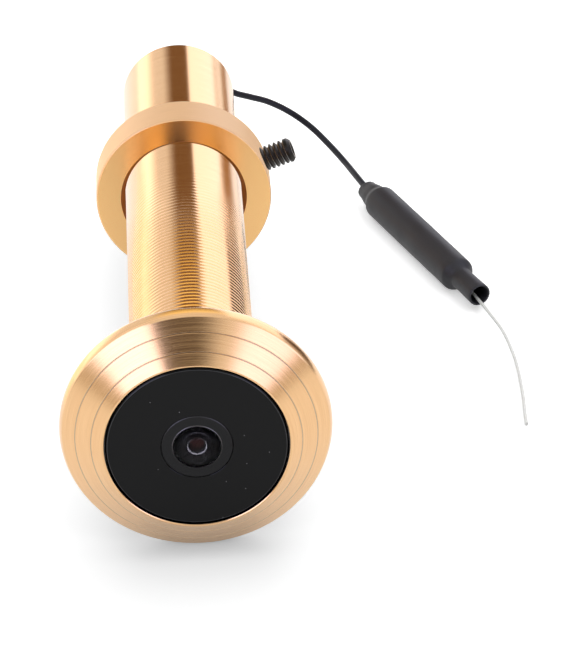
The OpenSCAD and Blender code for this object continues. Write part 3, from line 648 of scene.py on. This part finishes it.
# Clamp collar and its set screw
collar = {
    "radius": 10.55,
    "bore": 7.05,
    "front": 51,
    "width": 5,
    "bevel": 0.15,
    "leadIn": (0.55, 0.8),  # radial width and depth of the cones at the bore's ends
}
screw = {
    "radius": 1.5,
    "inner": 8.15,  # from the barrel's axis
    "length": 6,
    "angle": 19,  # degrees above the horizontal
    "bevel": 0.35,
    "cup": 0.25,  # depth of the hollow point
    "key": (1.5, 1.8, 0.06),  # width across flats, depth and bevel of the hexagon socket
    "drill": 0.3,  # depth of the cone at the socket's bottom
    "rowsPerTurn": 14,
    "thread": {
        "Pitch": 0.6, "Depth": 0.34, "Crest share": 0.16, "Outer radius": 1.5,
        "Start": 7, "Full depth from": 8, "Fades from": 13.3, "Ends": 13.6,
    },
}

blackSteel = grainedFinish("blackOxideSteel", {  # oiled black oxide: near black, with a dull steel sheen
    "constants": {"Metallic": 0.9, "Coat Weight": 0.15, "Coat Roughness": 0.2},
    "colours": ("#12100F", "#282522"),
    "roughness": (0.26, 0.4),
    "grain": 0.12, "cloud": 0.8, "relief": 0.1,
})


def collarRing():
    front, back = collar["front"], collar["front"] + collar["width"]
    outer, bore, edge = collar["radius"], collar["bore"], collar["bevel"]
    coneW, coneL = collar["leadIn"]
    profile = [(bore, front + coneL), (bore + coneW, front), (outer - edge, front), (outer, front + edge)]
    profile += [(outer, back - edge), (outer - edge, back), (bore + coneW, back), (bore, back - coneL)]
    return turnPiece("collar_ring", profile, 192, sharpAngle=20)


def threadedScrew():
    outer, inner, end = screw["radius"], screw["inner"], screw["inner"] + screw["length"]
    thread, edge, cup = screw["thread"], screw["bevel"], screw["cup"]
    flats, deep, keyEdge = screw["key"]
    span = screw["length"] - 2 * edge
    rows = math.ceil(span * screw["rowsPerTurn"] / thread["Pitch"])
    steps = 5  # rows on each bevel
    profile = [(0, inner + cup), (outer - edge - cup, inner)]
    profile += [(outer - edge * (1 - i / steps), inner + edge * i / steps) for i in range(steps)]
    profile += [(outer, inner + edge + span * i / rows) for i in range(rows + 1)]
    profile += [(outer - edge * i / steps, end - edge * (1 - i / steps)) for i in range(1, steps + 1)]
    firstKey = len(profile)
    profile += [(flats / 2 + keyEdge, end), (flats / 2, end - keyEdge), (flats / 2, end - deep)]
    profile += [(0, end - deep - screw["drill"])]

    def hexagon(point, turn, row):
        if not firstKey <= row < firstKey + 3:
            return point
        corner = math.pi / 3
        stretch = 1 / math.cos((turn % corner) - corner / 2)
        return Vector((point.x * stretch, point.y, point.z * stretch))

    blank = turnPiece("set_screw_threaded", profile, 72, shape=hexagon, sharpAngle=40)
    piece = threadPiece(blank, thread, blackSteel)
    angle = math.radians(screw["angle"])
    turned = Vector((0, 1, 0)).rotation_difference(Vector((math.cos(angle), 0, math.sin(angle))))
    centre = Vector((0, collar["front"] + collar["width"] / 2, 0)) * mm
    piece.data.transform(Matrix.Translation(centre) @ turned.to_matrix().to_4x4())
    return piece


ring = finishPiece(collarRing(), "collar", collarGold, "clamp_collar")
ring.visible_glossy = False  # the barrel's streaks run on up to the collar
setScrew = finishPiece(threadedScrew(), "screw", None, "set_screw")
setScrew.visible_glossy = False
print("collar and set screw made")


# Window and lens
window = {
    "radius": 9.85,
    "front": -4.7,
    "back": -3.7,
    "bevel": (0.25, 1.3),  # width, and how it curves
    "hole": (3.87, 0.04),  # radius, bevel
}
lens = {  # mm, as are all pieces
    "flange": (3.85, 1.3, 0.1),  # radius, thickness, bevel
    "tube": (3.4, 3.3),  # radius and rear end
    "aperture": (2.58, 0.06),  # radius, and the width and height of the raised edge round it
    "bore": 2.93,
    "glass": (2.9, -4.45, 0.15),  # radius, front and thickness of the front glass's rim
    "dome": (2.57, 0.27, -4.63),  # radius, height and base, close to the raised edge
    "hollow": (2.52, 0.26, -4.46),
    "spacer": (2.9, -3.43, -1.85, 1.15),  # radius, ends, radius of its hole
    "nose": [(0.96, -4.41), (1.05, -4.462), (1.5, -4.25), (1.56, -4.2), (2.3, -3.6), (2.35, -3.43)],
    "inner": (2.9, -1.85, 0.35),  # radius and ends of the inner glass's rim
    "bead": (0.9, 0.3, -4.1),  # its dome that stands in the nose
    "rearDome": (2.14, 0.5),  # radius and height
}
acrylic = {
    "constants": {"Specular IOR Level": 0.17, "IOR": 1.49},
    "colours": ("#08080A", "#8A8A8E", "#47474B"),  # backing, dust, painted highlight on the bevel's edge
    "dust": (2.4, 0.02, 0.3),  # mm from mote to mote, their size and how many are left as shares
    "edge": 0.035,  # mm, half the width of the painted highlight on the bevel's edge
    "haze": 3,  # mm
    "roughness": (0.04, 0.1),
}
coatedGlass = {
    "constants": {
        "Base Color": linear("#E4E2EA"), "Specular Tint": linear("#0C0C12"),
        "Transmission Weight": 1, "IOR": 1.52,
    },
    "haze": 1.5,  # mm
    "roughness": (0.27, 0.3),
}


def hazyRoughness(tree, shader, place, look, detail):  # wiped clean, and never quite evenly
    haze = addNode(tree, "ShaderNodeTexNoise", {
        "Vector": place, "Scale": 1 / (look["haze"] * mm), "Detail": detail,
    }).outputs["Fac"]
    rough = addNode(tree, "ShaderNodeMapRange", {
        "Value": haze, "To Min": look["roughness"][0], "To Max": look["roughness"][1],
    }).outputs[0]
    tree.links.new(rough, shader.inputs["Roughness"])


def polishedBlack(look):  # black-backed acrylic: deep gloss with a little dust on it, and a painted highlight on the bevel's edge
    material, tree, shader = startMaterial("polishedBlackAcrylic", look["constants"])
    spacing, size, share = look["dust"]
    backing, mote, paintedEdgeHighlight = [linear(colour) for colour in look["colours"]]
    place = addNode(tree, "ShaderNodeTexCoord").outputs["Object"]
    xyz = addNode(tree, "ShaderNodeSeparateXYZ", {0: place}).outputs
    face = addNode(tree, "ShaderNodeCombineXYZ", {0: xyz[0], 1: xyz[2]}).outputs[0]
    cells = addNode(tree, "ShaderNodeTexVoronoi", {
        "Vector": face, "Scale": 1 / (spacing * mm),
    }, voronoi_dimensions="2D").outputs
    near = addNode(tree, "ShaderNodeMath", {0: cells["Distance"], 1: size}, operation="LESS_THAN").outputs[0]
    pick = addNode(tree, "ShaderNodeSeparateColor", {0: cells["Color"]}).outputs[0]
    few = addNode(tree, "ShaderNodeMath", {0: pick, 1: share}, operation="LESS_THAN").outputs[0]
    dust = addNode(tree, "ShaderNodeMath", {0: near, 1: few}, operation="MULTIPLY").outputs[0]
    # painted highlight: a pale ring where the bevel meets the front face
    onEdge = addNode(tree, "ShaderNodeMath", {
        0: axisReach(tree, place),
        1: (window["radius"] - window["bevel"][0]) * mm,
        2: look["edge"] * mm,
    }, operation="COMPARE").outputs[0]
    colour = backing
    for mask, shown in ((dust, mote), (onEdge, paintedEdgeHighlight)):
        colour = addNode(tree, "ShaderNodeMix", {0: mask, 6: colour, 7: shown}, data_type="RGBA").outputs[2]
    tree.links.new(colour, shader.inputs["Base Color"])
    hazyRoughness(tree, shader, place, look, detail=3)
    return material


def clearGlass(look):  # optical glass, whose film leaves only a weak, tinted reflection
    material, tree, shader = startMaterial("opticalGlassCoated", look["constants"])
    place = addNode(tree, "ShaderNodeTexCoord").outputs["Object"]
    hazyRoughness(tree, shader, place, look, detail=2)
    return material


lensBlack = grainedFinish("blackAnodisedLens", {  # satin black anodised lens barrel
    "constants": {"Specular IOR Level": 0.2, "IOR": 1.5},
    "colours": ("#101012", "#151517"),
    "roughness": (0.34, 0.44),
    "grain": 0.08, "cloud": 1, "relief": 0.06,
    "edges": [(2.67, 0.03, "#5C5A5A"), (3.8, 0.045, "#484747")],  # mm: radius and half width, bare metal
})
spacerBlack = grainedFinish("blackenedBrass", {  # blackened spacer, with bare metal only at its edge
    "constants": {"Specular IOR Level": 0.02, "IOR": 1.5},
    "colours": ("#100D0E", "#131011"),
    "roughness": (0.2, 0.22),
    "grain": 0.2, "cloud": 0.6, "relief": 0.01,
    "edges": [(1.01, 0.04, "#D8D8DA"), (1.53, 0.035, "#5C5C61")],
})
innerGlass = grainedFinish("opticalGlassInner", {  # inner glass, its film dark brown against the black
    "constants": {"Metallic": 1},
    "colours": ("#2C1714", "#341C18"),
    "roughness": (0.03, 0.05),
    "grain": 0.3, "cloud": 1, "relief": 0,
})


def windowDisc():
    rim, front, back = window["radius"], window["front"], window["back"]
    edge, curve = window["bevel"]
    hole, holeEdge = window["hole"]
    profile = [(hole, front + holeEdge), (hole + holeEdge, front), (rim - edge, front)]
    profile += [(rim - edge * (1 - i / 4), front + edge * (i / 4) ** curve) for i in range(1, 5)]
    profile += [(rim, back), (hole, back)]
    return turnPiece("window_disc", profile, 192)


def lensTube():
    front, glassFront = window["front"], lens["glass"][1]
    flangeR, flangeT, edge = lens["flange"]
    tubeR, tubeEnd = lens["tube"]
    hole, raised = lens["aperture"]
    profile = [(hole, front - raised), (hole + raised, front - raised), (hole + 2 * raised, front)]
    profile += [(flangeR - edge, front), (flangeR, front + edge), (flangeR, front + flangeT)]
    profile += [(tubeR, front + flangeT), (tubeR, tubeEnd), (lens["bore"], tubeEnd)]
    profile += [(lens["bore"], glassFront), (hole, glassFront)]
    return turnPiece("lens_tube", profile, 128)


def sphereCap(base, height, flat, apexFirst, steps=16):  # points of a dome on the axis
    ball = (base ** 2 + height ** 2) / (2 * height)
    points = []
    for i in range(steps + 1):
        radius = base * i / steps
        points.append((radius, flat - height + ball - math.sqrt(ball ** 2 - radius ** 2)))
    return points if apexFirst else points[::-1]


def domedGlass():  # thin shell, so that what is behind it shows where it is
    rim, front, thick = lens["glass"]
    profile = sphereCap(*lens["dome"], True)
    profile += [(lens["dome"][0], front), (rim, front), (rim, front + thick)]
    profile += [(lens["hollow"][0], front + thick), *sphereCap(*lens["hollow"], False)]
    return turnPiece("front_glass", profile, 128)


def steppedSpacer():
    rim, front, back, hole = lens["spacer"]
    profile = lens["nose"] + [(rim, front), (rim, back), (hole, back)]
    return turnPiece("lens_spacer", profile, 96)


def beadedGlass():
    rim, front, back = lens["inner"]
    profile = sphereCap(*lens["bead"], True)
    profile += [(lens["bead"][0], front), (rim, front), (rim, back)]
    base, height = lens["rearDome"]
    profile += [(radius, 2 * back - along) for radius, along in sphereCap(base, height, back, False)]
    return turnPiece("inner_glass", profile, 96)


finishPiece(windowDisc(), "viewer", polishedBlack(acrylic), "front_window")
finishPiece(lensTube(), "viewer", lensBlack, "lens_barrel")
finishPiece(domedGlass(), "viewer", clearGlass(coatedGlass), "front_lens")
finishPiece(steppedSpacer(), "viewer", spacerBlack, "lens_spacer_ring")
finishPiece(beadedGlass(), "viewer", innerGlass, "inner_lens")
print("window and lens made")


# The other pieces keep their solids and get their finishes
keptSolids = {
    "glassFilledNylon": {  # moulded black nylon: fine spark texture, low gloss
        "pieces": ("rear_cap", "lens_holder", "reset_switch", "power_contact_tongue"),
        "constants": {"Specular IOR Level": 0.45, "IOR": 1.53},
        "colours": ("#232325", "#2F2F31"),
        "roughness": (0.48, 0.62),
        "grain": 0.12, "cloud": 2, "relief": 0.2,
    },
    "nickelPlatedSteel": {  # stamped and plated: bright with faint drawing marks
        "pieces": ("power_socket", "radio_shield", "microphone"),
        "constants": {"Metallic": 1},
        "colours": ("#B4B6B6", "#CDCFCE"),
        "roughness": (0.2, 0.34),
        "grain": 0.15, "cloud": 1.5, "relief": 0.08,
    },
    "siliconeRubber": {  # moulded rubber: matte, dusty black
        "pieces": ("coax_grommet",),
        "constants": {"Specular IOR Level": 0.35, "IOR": 1.41, "Sheen Weight": 0.15},
        "colours": ("#28282A", "#343437"),
        "roughness": (0.6, 0.75),
        "grain": 0.15, "cloud": 1, "relief": 0.12,
    },
    "whiteAcetal": {  # moulded acetal: off-white and slightly waxy
        "pieces": ("reset_button",),
        "constants": {"Specular IOR Level": 0.5, "IOR": 1.48, "Subsurface Weight": 0.1},
        "colours": ("#DED9CC", "#EBE7DC"),
        "roughness": (0.35, 0.45),
        "grain": 0.1, "cloud": 0.8, "relief": 0.05,
    },
    "solderMaskBoard": {  # green solder mask over glass cloth: glossy, with a faint weave
        "pieces": ("main_board", "sensor_board"),
        "constants": {"Specular IOR Level": 0.5, "IOR": 1.55},
        "colours": ("#16482E", "#226543"),
        "roughness": (0.22, 0.34),
        "grain": 0.4, "cloud": 4, "relief": 0.1,
    },
    "mouldedEpoxy": {  # chip package: matte charcoal
        "pieces": ("processor", "memory_chip", "image_sensor"),
        "constants": {"Specular IOR Level": 0.4, "IOR": 1.55},
        "colours": ("#242527", "#303134"),
        "roughness": (0.5, 0.62),
        "grain": 0.08, "cloud": 1.5, "relief": 0.1,
    },
    "polyimideFilm": {  # amber insulating film: thin and glossy
        "pieces": ("insulating_liner", "flat_cable"),
        "constants": {"Specular IOR Level": 0.5, "IOR": 1.7},
        "colours": ("#A8752E", "#C08A3E"),
        "roughness": (0.2, 0.32),
        "grain": 0.3, "cloud": 5, "relief": 0.05,
    },
    "drawnBrass": {  # drawn brass tube: warm, with light tarnish
        "pieces": ("antenna_sleeve", "antenna_ferrule", "coax_connector"),
        "constants": {"Metallic": 1},
        "colours": ("#A5863F", "#C0A257"),
        "roughness": (0.28, 0.42),
        "grain": 0.2, "cloud": 2, "relief": 0.08,
    },
    "acrylicFoamTape": {  # foam tape: dull black with fine pores
        "pieces": ("window_adhesive_ring",),
        "constants": {"Specular IOR Level": 0.2, "IOR": 1.47},
        "colours": ("#161616", "#212121"),
        "roughness": (0.75, 0.9),
        "grain": 0.1, "cloud": 1, "relief": 0.3,
    },
    "infraredCutGlass": {  # thin filter glass with a rose reflection
        "pieces": ("infrared_filter",),
        "constants": {"Transmission Weight": 0.6, "IOR": 1.52},
        "colours": ("#B06A78", "#C48490"),
        "roughness": (0.03, 0.08),
        "grain": 0.5, "cloud": 2, "relief": 0.02,
    },
}
dressing = [(lensBlack, ("lens_retaining_ring",)), (leadJacket, ("coax_inner_lead",))]
dressing += [(grainedFinish(name, look), look["pieces"]) for name, look in keptSolids.items()]
for material, names in dressing:
    for name in names:
        nodes[name].data.materials.clear()
        nodes[name].data.materials.append(material)
print("kept solids dressed")


# Table, soft boxes, the cards that only polished surfaces see, white surroundings
studio = {
    "table": "#F6F6F6",
    "floor": -14.75,  # mm, under the head's rim
    "floorSize": 8,  # m
    "middle": (0, 0.035, 0),  # m, what the lamps point at
    "floorLift": (0.37, 0.28),  # to the eye and in reflections
    "floorFar": (0.5, 1.8, 0.4),  # m from and to, and what it gains beyond the reach of the lamps
    "floorBack": (0, 0.045, 0.12),  # m along the barrel from and to, and what it gains behind the head: painted light that lifts the object's shadow there
    "ambient": 0.33,  # what the white surroundings give to matte surfaces
    "goldInGold": "#C4BE70",  # what a second reflection leaves of a card
    "boxes": {
        "size": (0.5, 2.2), "distance": 0.8,  # m
        "tilt": 68, "back": 0.3,  # degrees above the table, share of the distance behind the middle
        "radiance": (1.15, 1.6),  # left, right
    },
    "cards": {  # centre, half width and half length in m, turn about Y, fades at its four sides, level, tint
        "left_front_card": (
            (-0.643, -0.85, 0.476), (0.36, 0.8), -53.5, (0.12, 0.08, 0.05, 0.05), 3.5, "#DADAFF",
        ),
        "left_back_card": ((-0.7, 2.1, 0.25), (0.29, 2), -72, (0.05, 0.5, 0.02, 0.05), 2.15, "#FFF8F2"),
        "left_wall": ((-0.033, 0.06, 0.004), (0.0085, 0.055), -90, (0.25, 0.02, 0.05, 0.3), 1.95, "#FFE6CC"),
        "right_front_card": ((0.69, -0.85, 0.4), (0.38, 0.8), 60, (0.3, 0.12, 0.05, 0.05), 2.9, "#DADAFF"),
        "right_back_card": ((0.63, 2.1, 0.49), (0.46, 2), 52, (0.06, 0.08, 0.02, 0.05), 2, "#F6F4FF"),
        "front_card": ((0, -1.7, 0.7), (0.44, 1.3), 0, (0.08, 0.45, 0.05, 0.12), 0.05, "#FFD080"),
        "over_front_card": ((0, 0.0215, 0.06), (0.034, 0.0095), 0, (0.4, 0.4, 0.2, 0), 1.5, "#FFEBA4"),
        "over_back_card": ((0, 0.0485, 0.06), (0.034, 0.0175), 0, (0.4, 0.4, 0, 0.1), 0.8, "#FFE08C"),
        "back_card": ((-0.08, 2.2, 0.7), (0.37, 1.85), 0, (0.45, 0.06, 0.1, 0.05), 0.23, "#FFC88C"),
        "right_side_card": ((0.4, 0.245, 0.105), (0.12, 0.175), -90, (0, 0.2, 0.05, 0.1), 0.1, "#FFC080"),
        "right_near_wall": (
            (0.02, 0.067, 0.0025), (0.0055, 0.019), -90, (0.2, 0.3, 0.5, 0), 0.45, "#FFC080",
        ),
        "right_far_wall": ((0.02, 0.108, -0.002), (0.004, 0.022), -90, (0.2, 0.3, 0, 0.05), 0.4, "#FFC080"),
    },
    "wall": {
        "radii": (0.15, 0.2),  # m across and along the barrel
        "span": (98, 262),  # degrees
        "heights": (0, 0.032),  # m
        "fades": (0.08, 0.08, 0.3, 0.3),
        "level": 0.68,
        "tint": "#FFF3E0",
    },
}


def softBox(name, side):  # lights the matte surfaces and casts the shadow
    box, middle = studio["boxes"], Vector(studio["middle"])
    data = bpy.data.lights.new(name, "AREA")
    data.shape = "RECTANGLE"
    data.size, data.size_y = box["size"]
    data.energy = box["radiance"][side > 0] * math.pi * box["size"][0] * box["size"][1]
    lamp = bpy.data.objects.new(name, data)
    scene.collection.objects.link(lamp)
    tilt = math.radians(box["tilt"])
    lamp.location = middle + Vector((side * math.cos(tilt), box["back"], math.sin(tilt))) * box["distance"]
    back = (lamp.location - middle).normalized()
    along = Vector((0, 1, 0))
    lamp.rotation_mode = "QUATERNION"
    lamp.rotation_quaternion = Matrix((along.cross(back), along, back)).transposed().to_quaternion()
    lamp.visible_glossy = False


def emptyMaterial(name):
    material = bpy.data.materials.new(name)
    material.use_nodes = True
    material.node_tree.nodes.clear()
    return material, material.node_tree


def firstLook(tree):  # 0 once light has left a matte surface, so the metal throws no glare on the table
    depth = addNode(tree, "ShaderNodeLightPath").outputs["Diffuse Depth"]
    return addNode(tree, "ShaderNodeMath", {0: depth, 1: 0.5}, operation="LESS_THAN").outputs[0]


def seenWhite(tree):  # 1 where the camera, a reflection or a refraction looks
    path = addNode(tree, "ShaderNodeLightPath").outputs
    seen = path["Is Camera Ray"]
    for ray in ("Is Glossy Ray", "Is Transmission Ray"):
        seen = addNode(tree, "ShaderNodeMath", {
            0: seen, 1: path[ray],
        }, operation="ADD", use_clamp=True).outputs[0]
    return addNode(tree, "ShaderNodeMath", {0: seen, 1: firstLook(tree)}, operation="MULTIPLY").outputs[0]


def makeFloor():
    build = bmesh.new()
    bmesh.ops.create_grid(build, x_segments=1, y_segments=1, size=studio["floorSize"] / 2)
    floor = newObject("table", build, recalc=False)
    floor.data.transform(Matrix.Translation((0, 0, studio["floor"] * mm)))
    material, tree = emptyMaterial("whiteTable")
    matte = addNode(tree, "ShaderNodeBsdfDiffuse", {"Color": linear(studio["table"])}).outputs[0]
    mirrored = addNode(tree, "ShaderNodeLightPath").outputs["Is Glossy Ray"]
    level = addNode(tree, "ShaderNodeMapRange", {
        "Value": mirrored, "To Min": studio["floorLift"][0], "To Max": studio["floorLift"][1],
    }).outputs[0]
    place = addNode(tree, "ShaderNodeTexCoord").outputs["Object"]
    reach = addNode(tree, "ShaderNodeVectorMath", {0: place}, operation="LENGTH").outputs["Value"]
    along = addNode(tree, "ShaderNodeSeparateXYZ", {0: place}).outputs[1]
    # floorBack is painted light: the table glows brighter behind the head, over the shadow there
    for part, distance, rise in (("floorFar", reach, "LINEAR"), ("floorBack", along, "SMOOTHSTEP")):
        near, far, gain = studio[part]
        more = addNode(tree, "ShaderNodeMapRange", {
            "Value": distance, "From Min": near, "From Max": far, "To Max": gain,
        }, interpolation_type=rise).outputs[0]
        level = addNode(tree, "ShaderNodeMath", {0: level, 1: more}, operation="ADD").outputs[0]
    lift = addNode(tree, "ShaderNodeMath", {0: seenWhite(tree), 1: level}, operation="MULTIPLY").outputs[0]
    glow = addNode(tree, "ShaderNodeEmission", {"Color": (1, 1, 1, 1), "Strength": lift}).outputs[0]
    total = addNode(tree, "ShaderNodeAddShader", {0: matte, 1: glow}).outputs[0]
    addNode(tree, "ShaderNodeOutputMaterial", {"Surface": total})
    floor.data.materials.append(material)


def reflectedOnly(piece, fades, level, tint):  # seen in polished surfaces alone, soft at its sides
    material, tree = emptyMaterial(piece.name + "Glow")
    place = addNode(tree, "ShaderNodeUVMap", uv_map="card").outputs["UV"]
    across = addNode(tree, "ShaderNodeSeparateXYZ", {0: place}).outputs
    full = firstLook(tree)
    for side, fade in enumerate(fades):  # left, right, near, far
        start = side % 2
        if fade:
            rise = addNode(tree, "ShaderNodeMapRange", {
                "Value": across[side // 2], "From Min": start, "From Max": 1 - fade if start else fade,
            }, interpolation_type="SMOOTHSTEP").outputs[0]
            full = addNode(tree, "ShaderNodeMath", {0: full, 1: rise}, operation="MULTIPLY").outputs[0]
    mirrors = addNode(tree, "ShaderNodeLightPath").outputs["Glossy Depth"]
    again = addNode(tree, "ShaderNodeMapRange", {"Value": mirrors, "From Min": 1, "From Max": 2}).outputs[0]
    deeper = [part * kept for part, kept in zip(linear(tint), linear(studio["goldInGold"]))]
    colour = addNode(tree, "ShaderNodeMix", {
        0: again, 6: linear(tint), 7: deeper,
    }, data_type="RGBA").outputs[2]
    clear = addNode(tree, "ShaderNodeBsdfTransparent").outputs[0]
    glow = addNode(tree, "ShaderNodeEmission", {"Color": colour, "Strength": level}).outputs[0]
    surface = addNode(tree, "ShaderNodeMixShader", {0: full, 1: clear, 2: glow}).outputs[0]
    addNode(tree, "ShaderNodeOutputMaterial", {"Surface": surface})
    piece.data.materials.append(material)
    for ray in ("camera", "diffuse", "shadow", "transmission"):
        setattr(piece, "visible_" + ray, False)


def flatCard(name, centre, half, turn, fades, level, tint):
    build = bmesh.new()
    uvLayer = build.loops.layers.uv.new("card")
    rows = [[build.verts.new((x * half[0], y * half[1], 0)) for x in (-1, 1)] for y in (-1, 1)]
    skinRings(build, uvLayer, rows, (0, 1), sides=1)
    card = newObject(name, build, recalc=False)
    card.data.transform(Matrix.Translation(centre) @ Matrix.Rotation(math.radians(turn), 4, "Y"))
    reflectedOnly(card, fades, level, tint)


def roundWall():  # low wall round the object, the brown edge of the bright field
    wall = studio["wall"]
    (wide, long), (start, end) = wall["radii"], wall["span"]
    build = bmesh.new()
    uvLayer = build.loops.layers.uv.new("card")
    steps = 72
    rows = []
    for height in wall["heights"]:
        turns = [math.radians(start + (end - start) * i / steps) for i in range(steps + 1)]
        spots = [(wide * math.sin(a), studio["middle"][1] + long * math.cos(a), height) for a in turns]
        rows.append([build.verts.new(spot) for spot in spots])
    skinRings(build, uvLayer, rows, (0, 1), steps)
    card = newObject("round_wall", build, recalc=False)
    reflectedOnly(card, wall["fades"], wall["level"], wall["tint"])


def makeWorld():
    world = bpy.data.worlds.new("studio")
    scene.world = world
    world.use_nodes = True
    tree = world.node_tree
    tree.nodes.clear()
    strength = addNode(tree, "ShaderNodeMapRange", {
        "Value": seenWhite(tree), "To Min": studio["ambient"], "To Max": 1,
    }).outputs[0]
    light = addNode(tree, "ShaderNodeBackground", {"Color": (1, 1, 1, 1), "Strength": strength}).outputs[0]
    addNode(tree, "ShaderNodeOutputWorld", {"Surface": light})


softBox("soft_box_left", -1)
softBox("soft_box_right", 1)
makeFloor()
for cardName, card in studio["cards"].items():
    flatCard(cardName, *card)
roundWall()
makeWorld()
print("studio made")
